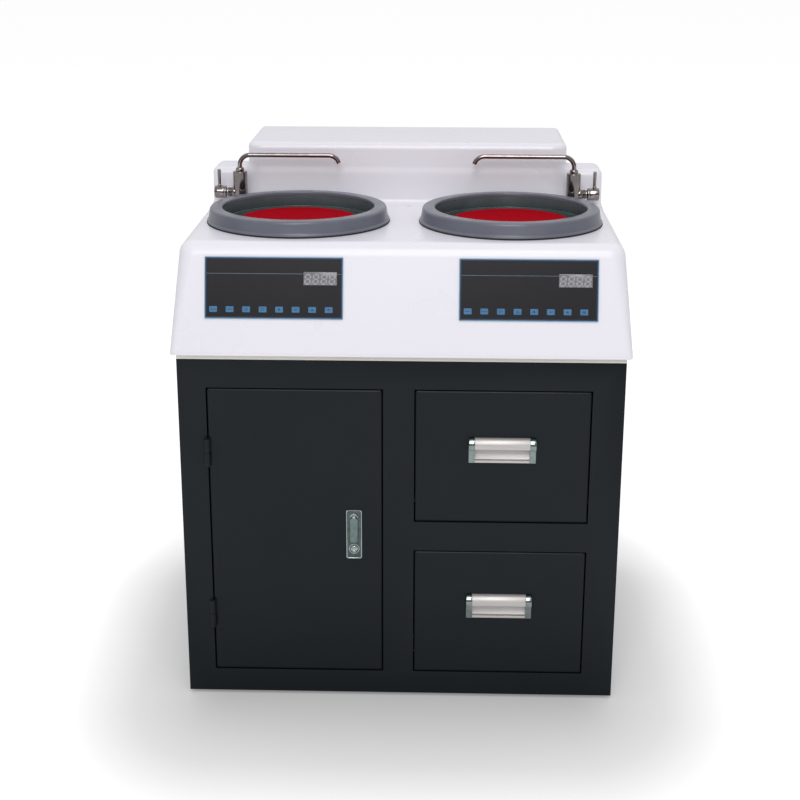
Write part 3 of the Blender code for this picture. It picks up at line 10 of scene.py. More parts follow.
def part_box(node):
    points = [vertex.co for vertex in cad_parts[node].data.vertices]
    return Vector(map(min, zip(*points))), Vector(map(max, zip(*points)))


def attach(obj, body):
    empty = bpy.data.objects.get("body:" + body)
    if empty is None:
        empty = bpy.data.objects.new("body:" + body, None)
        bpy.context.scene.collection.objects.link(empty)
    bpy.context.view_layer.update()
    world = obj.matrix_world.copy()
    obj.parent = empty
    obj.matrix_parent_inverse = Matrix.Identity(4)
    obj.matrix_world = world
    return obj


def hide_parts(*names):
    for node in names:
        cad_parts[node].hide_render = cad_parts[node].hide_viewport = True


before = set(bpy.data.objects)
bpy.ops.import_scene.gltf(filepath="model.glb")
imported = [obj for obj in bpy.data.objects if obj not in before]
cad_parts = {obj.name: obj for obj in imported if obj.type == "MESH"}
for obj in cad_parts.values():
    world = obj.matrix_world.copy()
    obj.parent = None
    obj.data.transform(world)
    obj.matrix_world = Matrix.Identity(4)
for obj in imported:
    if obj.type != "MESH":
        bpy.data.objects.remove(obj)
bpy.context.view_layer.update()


# ================================================================ feet
# Four low pads of moulded black rubber, screwed under the cabinet's corners.
# Fine grain from the mould and dust give the rubber its uneven black.
def new_finish(name, roughness, metallic=0.0, **plain):
    """A material with one Principled shader. Values that are the same all over are set on its sockets."""
    finish = bpy.data.materials.new(name)
    finish.use_nodes = True
    shader = finish.node_tree.nodes["Principled BSDF"]
    shader.inputs["Roughness"].default_value = roughness
    shader.inputs["Metallic"].default_value = metallic
    for socket, value in plain.items():
        shader.inputs[socket.replace("_", " ")].default_value = value
    return finish


def add_node(owner, kind, links=(), **settings):
    """A node of a material or the world, with its settings, and its inputs linked to other nodes' outputs."""
    node = owner.node_tree.nodes.new(kind)
    for key, value in settings.items():
        if hasattr(node, key):
            setattr(node, key, value)
        else:
            node.inputs[key.replace("_", " ")].default_value = value
    for socket, output in dict(links).items():
        owner.node_tree.links.new(output, node.inputs[socket])
    return node


def grain(finish, scale, detail=3.0, stretch=(1, 1, 1)):
    """Cloudy noise over the piece's own place, finer with scale and drawn out along an axis by stretch."""
    place = add_node(finish, "ShaderNodeTexCoord").outputs["Object"]
    mapped = add_node(finish, "ShaderNodeMapping", {"Vector": place}, Scale=stretch).outputs["Vector"]
    noise = add_node(finish, "ShaderNodeTexNoise", {"Vector": mapped}, Scale=scale, Detail=detail)
    return noise.outputs["Fac"]


def ramp(owner, value, *stops):
    """Colours or greys laid along a value from 0 to 1, one stop for each (place, colour)."""
    made = add_node(owner, "ShaderNodeValToRGB", {"Fac": value})
    line = made.color_ramp
    while len(line.elements) < len(stops):
        line.elements.new(0.5)
    for element, (place, colour) in zip(line.elements, stops):
        element.position = place
        element.color = (*(colour if isinstance(colour, tuple) else (colour,) * 3), 1.0)
    return made.outputs["Color"]


def dress(finish, colour, roughness=None, bumps=()):
    """Links a material's colour and roughness, and its bumps one over another: (height, strength, depth)."""
    shader = finish.node_tree.nodes["Principled BSDF"]
    finish.node_tree.links.new(colour, shader.inputs["Base Color"])
    if roughness is not None:
        finish.node_tree.links.new(roughness, shader.inputs["Roughness"])
    under = {}
    for height, strength, depth in bumps:
        links = {"Height": height, **under}
        bump = add_node(finish, "ShaderNodeBump", links, Strength=strength, Distance=depth)
        under = {"Normal": bump.outputs["Normal"]}
    for normal in under.values():
        finish.node_tree.links.new(normal, shader.inputs["Normal"])
    return finish


def patterned(name, roughness, colours, sheen=(), bumps=(), metallic=0.0, **plain):
    """A material whose colour and roughness follow cloudy noise, with bumps of more noise one over another.
    A noise is what grain() takes after its material. Colours and sheen are (noise, stop, stop), each stop
    being (place, value), and a bump is (noise, strength, depth)."""
    finish = new_finish(name, roughness, metallic, **plain)
    colour = ramp(finish, grain(finish, *colours[0]), *colours[1:])
    rough = ramp(finish, grain(finish, *sheen[0]), *sheen[1:]) if sheen else None
    return dress(finish, colour, rough, [(grain(finish, *noise), *size) for noise, *size in bumps])


foot_rubber = patterned(
    "foot_rubber",
    0.8,
    ((90,), (0.3, (0.008, 0.008, 0.009)), (0.75, (0.022, 0.022, 0.023))),
    bumps=[((1400, 2), 0.4, 0.0002)],
)


def grid_faces(rows, columns, close_rows=False):
    """Quads between the points of a rows by columns grid. The last column joins the first one, and so does
    the last row if told to."""
    index = np.arange(rows * columns).reshape(rows, columns)
    if close_rows:
        index = np.vstack([index, index[:1]])
    index = np.hstack([index, index[:, :1]])
    quads = np.stack([index[:-1, :-1], index[:-1, 1:], index[1:, 1:], index[1:, :-1]], -1)
    return quads.reshape(-1, 4).tolist()


def eased(corners, radius, steps=5, closed=True):
    """An outline with round corners: each is a parabola from one radius before it to one after it.
    The radius is cut to nearly half of the shorter side beside it. An open outline keeps its two ends."""
    corners = np.asarray(corners, float)
    back = np.roll(corners, 1, 0) - corners
    on = np.roll(corners, -1, 0) - corners
    back_length = np.linalg.norm(back, axis=1, keepdims=True)
    on_length = np.linalg.norm(on, axis=1, keepdims=True)
    radius = np.broadcast_to(np.asarray(radius, float), len(corners))[:, None]
    reach = np.minimum(radius, 0.49 * np.minimum(back_length, on_length))
    start = (corners + back / back_length * reach)[:, None]
    end = (corners + on / on_length * reach)[:, None]
    t = np.linspace(0, 1, steps)[None, :, None]
    points = (1 - t) ** 2 * start + 2 * t * (1 - t) * corners[:, None] + t**2 * end
    if not closed:
        points[0] = corners[0]
        points[-1] = corners[-1]
    return points.reshape(-1, 2)


def turned(profile, centre, axis="Z", steps=96, closed=False):
    """A surface of revolution: the profile's (radius, height) points, carried round an axis at centre."""
    radius, height = np.asarray(profile, float).T
    turn = np.linspace(0, 2 * np.pi, steps, endpoint=False)
    across = radius[:, None] * np.cos(turn)
    along = radius[:, None] * np.sin(turn)
    up = np.broadcast_to(height[:, None], across.shape)
    order = {"Z": (across, along, up), "Y": (along, up, across), "X": (up, across, along)}[axis]
    points = np.stack(order, -1).reshape(-1, 3) + np.array(centre, float)
    return points, grid_faces(len(radius), steps, closed)


def lathe(corners, rounds, centre, cuts=5, steps=96, axis="Z", closed=False):
    """A turned solid with rounded corners: its outline runs from axis to axis, or closed round a bore."""
    return turned(eased(corners, rounds, cuts, closed), centre, axis, steps, closed)


def oblong(left, bottom, right, top):
    """A rectangle's corners, once round it."""
    return [(left, bottom), (right, bottom), (right, top), (left, top)]


def stacked(loops, cap_start=True, cap_end=True, closed=False):
    """A surface through closed loops of points, as many in each, with flat caps at its two ends."""
    loops = np.array(loops)
    rows, columns = loops.shape[:2]
    faces = grid_faces(rows, columns, closed)
    if not closed and cap_start:
        faces.append(list(range(columns))[::-1])
    if not closed and cap_end:
        faces.append(list(range((rows - 1) * columns, rows * columns)))
    return loops.reshape(-1, 3), faces


def placed(name, mesh, body, replaced=()):
    """An object of a mesh, which moves with a body and stands for CAD pieces."""
    made = bpy.data.objects.new(name, mesh)
    bpy.context.scene.collection.objects.link(made)
    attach(made, body)
    if replaced:
        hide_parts(*replaced)
    return made


def piece(name, parts, finishes, body, replaced=(), sharp=40):
    """One object of several surfaces. Each part is (points, faces) or (points, faces, number of its finish).
    Doubles are merged and normals turned outwards, and edges sharper than the given angle stay sharp."""
    points, faces, numbers, start = [], [], [], 0
    for part in parts:
        points.append(np.asarray(part[0], float))
        faces += [[corner + start for corner in face] for face in part[1]]
        numbers += [part[2] if len(part) > 2 else 0] * len(part[1])
        start += len(part[0])
    mesh = bpy.data.meshes.new(name)
    mesh.from_pydata(np.vstack(points).tolist(), [], faces)
    mesh.polygons.foreach_set("material_index", numbers)
    bm = bmesh.new()
    bm.from_mesh(mesh)
    bmesh.ops.remove_doubles(bm, verts=bm.verts, dist=2e-6)
    bmesh.ops.recalc_face_normals(bm, faces=bm.faces)
    bm.to_mesh(mesh)
    bm.free()
    mesh.shade_smooth()
    mesh.set_sharp_from_angle(angle=math.radians(sharp))
    for finish in finishes:
        mesh.materials.append(finish)
    return placed(name, mesh, body, replaced)


def round_piece(node):
    """A CAD piece's lowest and highest corners, the foot of its upright middle line, and its radius."""
    low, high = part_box(node)
    return low, high, ((low.x + high.x) / 2, (low.y + high.y) / 2, 0), (high.x - low.x) / 2


for end, side in itertools.product(("front", "rear"), ("left", "right")):
    name = f"foot_{end}_{side}"
    low, high, centre, radius = round_piece(name)
    parts = [lathe(oblong(0, low.z, radius, high.z), 0.0012, centre, steps=64)]
    piece(f"rubber_{name}", parts, [foot_rubber], "root", [name])


# ================================================================ cabinet body and face frame
# Folded and welded 2 mm steel sheet: sides and floor in one, a flat back and a flush frame in front.
# It is powder coated in a dark slate grey, which leaves a fine orange peel and soft, rounded edges.
slate_coat = patterned(
    "slate_powder_coat",
    0.36,
    ((2.2, 4), (0.3, (0.0066, 0.01, 0.0128)), (0.75, (0.0094, 0.0128, 0.0158))),
    ((14, 5), (0.25, 0.32), (0.8, 0.44)),
    [((420, 2), 0.16, 0.0004), ((3.0, 1), 0.08, 0.004)],
    Specular_IOR_Level=0.2,
)


def eased_node(node, name, width, finish, body, segments=3):
    """A CAD piece's own shape: its triangles are merged, flat ones joined, and its edges bevelled."""
    bm = bmesh.new()
    bm.from_mesh(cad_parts[node].data)
    bmesh.ops.remove_doubles(bm, verts=bm.verts, dist=1e-6)
    bmesh.ops.dissolve_limit(bm, angle_limit=math.radians(1), verts=bm.verts, edges=bm.edges)
    mesh = bpy.data.meshes.new(name)
    bm.to_mesh(mesh)
    bm.free()
    mesh.shade_smooth()
    mesh.materials.clear()
    mesh.materials.append(finish)
    edge = placed(name, mesh, body, [node]).modifiers.new("eased_edges", "BEVEL")
    edge.width = width
    edge.segments = segments
    edge.limit_method = "ANGLE"
    edge.angle_limit = math.radians(32)
    edge.harden_normals = True
    edge.use_clamp_overlap = True


for node, name, width in (
    ("cabinet_carcass", "cabinet_sides_and_floor", 0.0006),
    ("cabinet_back_panel", "cabinet_rear_sheet", 0.0006),
    ("divider_wall", "cabinet_divider", 0.0004),
    ("face_frame", "cabinet_front_frame", 0.0009),
):
    eased_node(node, name, width, slate_coat, "root")


# ================================================================ door and drawer fronts
# Each front is a shallow pan of the same coated sheet, its edges folded back and rounded by the press brake.
# The drawers' pans have a rectangular hole that the pull is pushed into from the front.
sheet_thick = 0.002
pan_edge = 0.0038
pan_corner = 0.003
hole_corner = 0.0008


def round_box(sides, radius, inset=0.0):
    """A rectangle of (left, bottom, right, top) with round corners, drawn in by an inset."""
    left, bottom, right, top = sides
    return eased(oblong(left + inset, bottom + inset, right - inset, top - inset), radius, 6)


def front_loops(low, high, radius, insets, depths):
    """Loops that face the front: a box's rectangle, drawn in by each inset at each depth behind its face."""
    rows = []
    for drawn_in, depth in zip(insets, depths):
        flat = round_box((low.x, low.z, high.x, high.z), radius, drawn_in)
        rows.append(np.insert(flat, 1, low.y + depth, axis=1))
    return rows


def pan(node, hole=None):
    """A front pan, as loops carried from the inner face round the folded lip to the outer face. With a hole,
    given by its two corners, the loops go on through it and close on themselves."""
    low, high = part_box(node)
    depth = high.y - low.y
    bend = np.linspace(0, np.pi / 2, 6)
    lip = np.linspace(0, np.pi, 5)
    half = sheet_thick / 2
    inset = [sheet_thick + 0.004, sheet_thick + 0.001, sheet_thick, *(half + half * np.cos(lip))]
    behind = [sheet_thick, sheet_thick, sheet_thick + 0.001, *(depth - half + half * np.sin(lip))]
    inset += [*(pan_edge - pan_edge * np.cos(bend)), pan_edge + 0.001]
    behind += [*(pan_edge - pan_edge * np.sin(bend)), 0.0]
    rows = front_loops(low, high, pan_corner, inset, behind)
    if hole is None:
        return stacked(rows)
    inset = [-0.0006, -0.0001, 0.0, 0.0, -0.0004]
    behind = [0.0, 0.0, 0.0004, sheet_thick - 0.0003, sheet_thick]
    return stacked(rows + front_loops(*hole, hole_corner, inset, behind), closed=True)


piece("door_front", [pan("door_panel")], [slate_coat], "door", ["door_panel"], sharp=50)
for body in ("drawer_upper", "drawer_lower"):
    node = f"{body}_front"
    low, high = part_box(f"{body}_pull")
    low.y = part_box(node)[0].y
    fit = Vector((0.0003, 0, 0.0003))
    front = pan(node, (low - fit, high + fit))
    piece(f"{body}_face", [front], [slate_coat], body, [node], sharp=50)


# ================================================================ hinges
# Two weld-on barrel hinges in plain turned steel, painted over with the cabinet. The lower knuckle is
# welded to the frame and carries the pin, and the upper one is welded to the door and lifts off.
hinge_radius = 0.005
hinge_ease = 0.0008
hinge_gap = 0.0003


def block_loops(low, high, radius, ease):
    """A box between two corners with round upright edges: its plan outline, stacked with eased rims."""
    low, high = Vector(low), Vector(high)
    rise = [0.0, 0.3 * ease, ease, high.z - low.z - ease, high.z - low.z - 0.3 * ease, high.z - low.z]
    inset = [ease, 0.3 * ease, 0.0, 0.0, 0.3 * ease, ease]
    rows = []
    for up, drawn_in in zip(rise, inset):
        flat = round_box((low.x, low.y, high.x, high.y), radius, drawn_in)
        rows.append(np.insert(flat, 2, low.z + up, axis=1))
    return stacked(rows)


for level, (leaf, body) in itertools.product(("upper", "lower"), (("frame", "root"), ("door", "door"))):
    node = f"hinge_{level}_{leaf}_leaf"
    low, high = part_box(node)
    bottom, top = low.z, high.z
    axis_x = low.x + hinge_radius
    start, end = axis_x, high.x
    if leaf == "frame":
        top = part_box(f"hinge_{level}_door_leaf")[0].z - hinge_gap
        axis_x = high.x - hinge_radius
        start, end = low.x, axis_x
    axis_y = low.y + hinge_radius
    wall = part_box("face_frame")[0].y - hinge_gap
    knuckle = oblong(0, bottom, hinge_radius, top)
    parts = [
        lathe(knuckle, hinge_ease, (axis_x, axis_y, 0), steps=48),
        block_loops((start, axis_y + 0.001, bottom + 0.001), (end, wall, top - 0.001), 0.0004, 0.0005),
    ]
    piece(f"hinge_knuckle_{level}_{leaf}", parts, [slate_coat], body, [node])


# ================================================================ door latch
# A small zinc-alloy swing handle, chrome plated and a little dulled: a rimmed plate on the door, a
# lever with an arched end hinged to the square shaft's head, and a round push button under it.
latch_chrome = patterned(
    "latch_chrome",
    0.24,
    ((160, 4), (0.3, (0.33, 0.38, 0.37)), (0.7, (0.46, 0.51, 0.5))),
    ((380, 3), (0.3, 0.14), (0.8, 0.3)),
    [((260, 3), 0.08, 0.0004)],
    metallic=1.0,
)
# The recess round the lever is a rougher and darker copy of the chrome: a matter finish, with painted shade
# for the recess laid into its colour.
latch_matt_and_shade = patterned(
    "latch_recess_matt_and_shade",
    0.4,
    ((120, 4), (0.3, (0.085, 0.125, 0.118)), (0.7, (0.135, 0.18, 0.17))),
    ((300, 3), (0.3, 0.3), (0.8, 0.5)),
    [((700, 2), 0.25, 0.0002)],
    metallic=1.0,
)
latch_satin = patterned(
    "latch_satin_lever",
    0.3,
    ((150, 4), (0.3, (0.15, 0.2, 0.19)), (0.7, (0.21, 0.268, 0.256))),
    ((380, 3), (0.3, 0.2), (0.8, 0.36)),
    [((260, 3), 0.06, 0.0004)],
    metallic=1.0,
)
turned_steel = patterned(
    "turned_steel",
    0.3,
    ((70, 4), (0.3, (0.34, 0.34, 0.35)), (0.7, (0.5, 0.5, 0.51))),
    ((500, 3), (0.25, 0.22), (0.8, 0.42)),
    [((900, 2, (1, 1, 6)), 0.12, 0.0002)],
    metallic=1.0,
)
latch_low, latch_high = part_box("latch_body")
lever_low, lever_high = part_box("latch_lever")
button_low, button_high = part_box("latch_button")
plate_thick = 0.003
rim_width = 0.0019
rim_rise = 0.0011
shaft_x = (latch_low.x + latch_high.x) / 2
shaft_z = lever_high.z - (lever_high.y - lever_low.y) / 2
button_at = (shaft_x, 0, (button_low.z + button_high.z) / 2)
inset = [0.0, 0.0, 0.0003, 0.0009, rim_width - 0.0004, rim_width, rim_width + 0.0003, rim_width + 0.0015]
behind = [plate_thick, 0.0008, 0.0002, 0.0, 0.0, 0.0003, rim_rise, rim_rise]
plate = stacked(front_loops(latch_low, latch_high, 0.0035, inset, behind))
inset = [rim_width + 0.0002, rim_width + 0.0002, rim_width + 0.0004]
behind = [rim_rise + 0.0004, rim_rise - 0.0001, rim_rise - 0.0002]
recess = stacked(front_loops(latch_low, latch_high, 0.003, inset, behind))
outline = oblong(0, latch_low.y + 0.002, 0.011, latch_high.y)
barrel = lathe(outline, 0.0005, (shaft_x, 0, shaft_z), steps=48, axis="Y")
front, back = latch_low.y - 0.0004, latch_low.y + rim_rise + 0.0004
outline = [(0.0073, back), (0.0073, front), (0.0088, front), (0.0094, back)]
collar = lathe(outline, 0.0004, button_at, steps=64, axis="Y", closed=True)
# The recess takes the darker finish, which holds painted shade.
parts = [plate, barrel, collar, (*recess, 1)]
piece("latch_plate", parts, [latch_chrome, latch_matt_and_shade], "door", ["latch_body"])


def lever_loops():
    """The lever's sections from its square foot to its arched head: superellipses, as wide as the arch there.
    Above the pivot they are as thick as a cylinder round it, so that the lever can lift."""
    half_width = (lever_high.x - lever_low.x) / 2
    half_thick = (lever_high.y - lever_low.y) / 2
    middle_y = (lever_low.y + lever_high.y) / 2
    head = np.linspace(0, np.pi / 2, 14)
    foot = np.linspace(0, np.pi / 2, 6)
    foot_round = 0.0012
    drawn_in = foot_round - foot_round * np.sin(foot)
    low_part = lever_low.z + foot_round - foot_round * np.cos(foot)
    up = np.concatenate([low_part, lever_high.z - half_width + half_width * np.sin(head)])
    width = np.concatenate([half_width - drawn_in, half_width * np.cos(head)])
    thick = np.concatenate([half_thick - drawn_in, np.full(len(head), half_thick)])
    over = np.clip((up - shaft_z) / half_thick, 0, 1)
    width = np.maximum(width, 1e-5)
    thick = np.maximum(thick * np.sqrt(1 - over**2), 1e-5)
    turn = np.linspace(0, 2 * np.pi, 48, endpoint=False)
    across = np.sign(np.cos(turn)) * np.abs(np.cos(turn)) ** 0.55
    out = np.sign(np.sin(turn)) * np.abs(np.sin(turn)) ** 0.75
    x = shaft_x + width[:, None] * across
    y = middle_y - thick[:, None] * out
    return np.stack([x, y, np.broadcast_to(up[:, None], x.shape)], -1)


piece("latch_lever_paddle", [stacked(lever_loops())], [latch_satin], "latch_lever", ["latch_lever"])
face = button_low.y
rim = (button_high.x - button_low.x) / 2
outline = [(0, face + 0.0009), (0.0022, face + 0.0009), (0.0036, face), (rim - 0.0016, face + 0.0004)]
outline += [(rim, face + 0.0022), (rim, button_high.y), (0, button_high.y)]
button = lathe(outline, 0.001, button_at, steps=64, axis="Y")
piece("latch_push_button", [button], [latch_chrome], "latch_button", ["latch_button"])
eased_node("latch_spindle", "latch_shaft_and_cam", 0.0003, turned_steel, "latch_spindle", 2)


# ================================================================ drawer pulls
# A hooded strip of extruded aluminium, satin anodised, pushed into the front between two moulded
# and chrome-plated end caps. The fingers reach up under the hood, over the strip's turned lip.
draw_lines = (900, 2, (0.012, 1, 1))
satin_aluminium = patterned(
    "satin_aluminium",
    0.38,
    (draw_lines, (0.25, (0.53, 0.51, 0.49)), (0.75, (0.65, 0.63, 0.61))),
    (draw_lines, (0.2, 0.36), (0.8, 0.52)),
    [(draw_lines, 0.16, 0.0002)],
    metallic=0.55,
)
cap_chrome = patterned(
    "cap_chrome",
    0.13,
    ((110, 3), (0.3, (0.21, 0.25, 0.243)), (0.7, (0.3, 0.345, 0.335))),
    ((420, 3), (0.3, 0.07), (0.8, 0.2)),
    [((240, 2), 0.06, 0.0003)],
    metallic=1.0,
)
pull_cap = 0.01
pull_flange = 0.003
pull_wall = 0.002
hood_height = 0.0168


def hood_curve(reach, top, steps=16):
    """The hood from its top edge out and down: a quarter of an ellipse, as (y, z) points."""
    turn = np.linspace(0, np.pi / 2, steps)
    up = top - 0.7 * hood_height * (1 - np.cos(turn))
    return np.column_stack([-pull_flange - reach * np.sin(turn), up])


def across_strip(outline, start, end, ease):
    """A (y, z) outline carried along X, its rims drawn in a little towards its middle at both ends."""
    middle = outline.mean(0)
    size = np.abs(outline - middle).max()
    places = [start, start + 0.3 * ease, start + ease, end - ease, end - 0.3 * ease, end]
    shares = [1 - ease / size, 1 - 0.3 * ease / size, 1, 1, 1 - 0.3 * ease / size, 1 - ease / size]
    flats = [middle + (outline - middle) * share for share in shares]
    return stacked([np.insert(flat, 0, x, axis=1) for x, flat in zip(places, flats)])


for level in ("upper", "lower"):
    body = f"drawer_{level}"
    low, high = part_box(f"{body}_pull")
    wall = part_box(f"{body}_front")[0].y
    middle_z = (low.z + high.z) / 2
    top = (high.z - low.z) / 2
    recess = high.y - wall
    reach = wall - low.y - pull_flange - 0.0002
    hood = hood_curve(reach, top)
    inner = hood_curve(reach, top, 12)[1:] + (pull_wall, -pull_wall)
    nose_y = -pull_flange - reach
    nose_z = top - hood_height
    back = 0.55 * recess
    lip = 0.004
    inside = [(back, top - pull_wall), (back, 0.1 * top), (0.86 * back, -0.35 * top)]
    inside += [(0.35 * back, -top + lip + 0.0006), (0.0, -top + lip), (-pull_flange, -top + lip)]
    inside += [(-pull_flange, -top), (pull_wall, -top), (0.6 * recess, -top + lip)]
    inside += [(recess, -0.4 * top), (recess, top)]
    nose = [(nose_y, nose_z + 0.0006), (nose_y + 0.0006, nose_z), (nose_y + pull_wall, nose_z)]
    strip = np.vstack([hood, nose, inner[::-1], eased(inside, 0.0007, 4, closed=False)]) + (wall, middle_z)
    hood_part = across_strip(strip, low.x + pull_cap / 2, high.x - pull_cap / 2, 0.0001)
    piece(f"pull_hood_{level}", [hood_part], [satin_aluminium], body, [f"{body}_pull"])
    step_z = nose_z - 0.003
    back_edge = [(-0.0046, step_z), (-0.004, step_z - 0.0012), (-0.004, -top)]
    back_edge += [(recess - 0.001, -top), (recess - 0.001, top)]
    over_hood = np.vstack([hood * (1.02, 1), [(nose_y * 1.02, nose_z)]]) - (0.0002, 0)
    cap = np.vstack([over_hood, eased(back_edge, 0.0006, 4, closed=False)]) + (wall, middle_z)
    ends = ((low.x, low.x + pull_cap), (high.x - pull_cap, high.x))
    parts = [across_strip(cap, start, end, 0.0007) for start, end in ends]
    piece(f"pull_caps_{level}", parts, [cap_chrome], body, [f"{body}_pull"])


# ================================================================ drawer boxes and runners
# Zinc-plated steel sheet, folded and spot welded: a box with a rail along each side, which slides in
# a channel fixed from the front frame to the back. The plating has a cloudy spangle.
zinc_sheet = new_finish("zinc_sheet", 0.4, 1.0)
place = add_node(zinc_sheet, "ShaderNodeTexCoord").outputs["Object"]
spangle = add_node(zinc_sheet, "ShaderNodeTexVoronoi", {"Vector": place}, Scale=110.0).outputs["Color"]
dress(
    zinc_sheet,
    ramp(zinc_sheet, spangle, (0.2, (0.44, 0.45, 0.47)), (0.8, (0.53, 0.54, 0.555))),
    ramp(zinc_sheet, spangle, (0.2, 0.32), (0.8, 0.5)),
    bumps=[(grain(zinc_sheet, 300, 2), 0.08, 0.0003)],
)
for level in ("upper", "lower"):
    body = f"drawer_{level}"
    eased_node(f"{body}_box", f"{body}_tray", 0.0005, zinc_sheet, body, 2)
    for side in ("left", "right"):
        node = f"{body}_runner_{side}"
        eased_node(node, f"{body}_channel_{side}", 0.0004, zinc_sheet, "root", 2)
eased_node("drive_electronics_box", "drive_electronics_case", 0.001, zinc_sheet, "root", 2)


# ================================================================ base plate
# The folded steel tray between cabinet and top, painted cream, with a narrow edge left in sight.
cream_paint = patterned(
    "cream_paint",
    0.45,
    ((6, 4), (0.3, (0.86, 0.83, 0.75)), (0.75, (0.9, 0.875, 0.8))),
    ((30, 3), (0.3, 0.4), (0.8, 0.55)),
    [((500, 2), 0.15, 0.0003)],
)
eased_node("base_plate", "cream_base_plate", 0.0014, cream_paint, "root")


# ================================================================ moulded top
# One hand-laid moulding of glass fibre with a glossy white gelcoat, 4 mm thick: a sloping front, a flat
# deck with a hole for each bowl, a raised splash back and a lower shoulder at each side of it. Every
# fold is a generous radius, outside and in the corners, as a mould needs.
gelcoat = patterned(
    "white_gelcoat",
    0.26,
    ((1.6, 3), (0.0, (0.78, 0.76, 0.815)), (1.0, (0.845, 0.828, 0.875))),
    ((7, 2), (0.0, 0.2), (1.0, 0.38)),
    [((5.0, 2), 0.05, 0.01)],
    Coat_Weight=0.06,
    Coat_Roughness=0.12,
)
shell_low, shell_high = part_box("top_housing")
deck_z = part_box("splash_ring_left")[0].z - 0.0003
half_width = (shell_high.x - shell_low.x) / 2
half_depth = shell_high.y
side_lean = 0.014
front_lean = 0.045
side_scale = 0.9966
front_scale = 0.9661
hump_half = 0.283
hump_front = 0.079
hump_lean = 0.01
hump_corner = 0.026
shoulder_top = 0.835
shoulder_break = 0.219
shoulder_rear = 0.79
shoulder_inset = 0.0045
shoulder_back = 0.005
deck_fold = 0.018
wall_corner = 0.017
edge_fold = 0.0105
fall_fold = 0.03
hollow_fold = 0.012
wall_thick = 0.004
skirt_drop = 0.0035


def both(one, other, radius):
    """Distance to what lies inside both solids, with their shared edge rounded by a radius."""
    over = np.sqrt(np.maximum(one + radius, 0) ** 2 + np.maximum(other + radius, 0) ** 2)
    return np.minimum(np.maximum(one, other), -radius) + over


def either(one, other, radius):
    """Distance to what lies inside one solid or the other, the corner between them filled by a radius."""
    under = np.sqrt(np.maximum(radius - one, 0) ** 2 + np.maximum(radius - other, 0) ** 2)
    return np.maximum(np.minimum(one, other), radius) - under


def top_distance(x, y, z):
    """Distance from the moulded top's skin, negative inside it: the leaning body under the deck, and the
    splash back and the shoulders standing on it. A leaning wall's distance is scaled by its lean's cosine."""
    rise = np.maximum(z - shell_low.z, 0) / (deck_z - shell_low.z)
    side = (np.abs(x) - half_width + side_lean * rise) * side_scale
    front = (-half_depth + front_lean * rise - y) * front_scale
    rear = y - half_depth
    body = both(both(side, front, wall_corner * (0.5 + rise)), z - deck_z, deck_fold)
    back_face = hump_front + hump_lean * (z - deck_z) / (shell_high.z - deck_z) - y
    hump = both(both(np.abs(x) - hump_half, back_face, hump_corner), z - shell_high.z, edge_fold)
    upper = np.minimum(rise, 1.0)
    step_side = (np.abs(x) - half_width + side_lean * upper + shoulder_inset) * side_scale
    slope = (shoulder_top - shoulder_rear) / (half_depth - shoulder_break)
    fall = (z - shoulder_top + slope * (y - shoulder_break)) / math.hypot(1, slope)
    step = both(both(step_side, back_face + shoulder_back, wall_corner), z - shoulder_top, edge_fold)
    step = both(step, fall, fall_fold)
    return both(either(either(body, step, hollow_fold / 2), hump, hollow_fold), rear, edge_fold)


def net_over(distance, xs, ys, zs):
    """A net of quads over the surface where a distance is zero. Every cell of the grid that the surface
    crosses holds one point, moved along the distance's slope until it lies on the surface, and every
    grid edge that the surface crosses joins its four cells by a quad. Quads that would lie flat in the
    open bottom are left out."""
    inside = distance(xs[:, None, None], ys[None, :, None], zs[None, None, :]) < 0
    steps = itertools.product((slice(None, -1), slice(1, None)), repeat=3)
    count = sum(inside[corner].astype(int) for corner in steps)
    crossed = (count > 0) & (count < 8)
    number = np.full(crossed.shape, -1)
    number[crossed] = np.arange(crossed.sum())
    i, j, k = np.nonzero(crossed)
    points = np.column_stack([(xs[i] + xs[i + 1]) / 2, (ys[j] + ys[j + 1]) / 2, (zs[k] + zs[k + 1]) / 2])
    bottom_row = k == 0
    points[bottom_row, 2] = zs[0]
    small = 1e-5
    for _ in range(9):
        here = distance(*points.T)
        slope = np.column_stack([(distance(*(points + small * way).T) - here) / small for way in np.eye(3)])
        slope[bottom_row, 2] = 0
        points -= slope * (here / np.maximum((slope**2).sum(1), 1e-9))[:, None]
    quads = []
    for axis in range(3):
        solid = np.moveaxis(inside, axis, 0)
        cells = np.moveaxis(number, axis, 0)
        change = (solid[1:] != solid[:-1])[:, 1:-1, 1:-1]
        i, j, k = np.nonzero(change)
        corners = ((i, j, k), (i, j + 1, k), (i, j + 1, k + 1), (i, j, k + 1))
        quad = np.column_stack([cells[corner] for corner in corners])
        backward = solid[:-1][:, 1:-1, 1:-1][change] == (axis == 1)
        quad[backward] = quad[backward][:, ::-1]
        quads.append(quad)
    quads = np.vstack(quads)
    kept, quads = np.unique(quads[~bottom_row[quads].all(1)], return_inverse=True)
    return points[kept], quads.reshape(-1, 4)


def spaced(start, end, *zones):
    """Grid lines from start to end: coarse steps, and fine ones inside the zones where the surface bends."""
    coarse, fine = 0.011, 0.0027
    lines = [start]
    while lines[-1] < end - 1e-9:
        at = lines[-1]
        bending = any(low <= at < high for low, high in zones)
        nearest = min([low - at for low, high in zones if low > at + 1e-9] + [1.0])
        lines.append(min(at + (fine if bending else min(coarse, max(nearest, fine))), end))
    return np.array(lines)


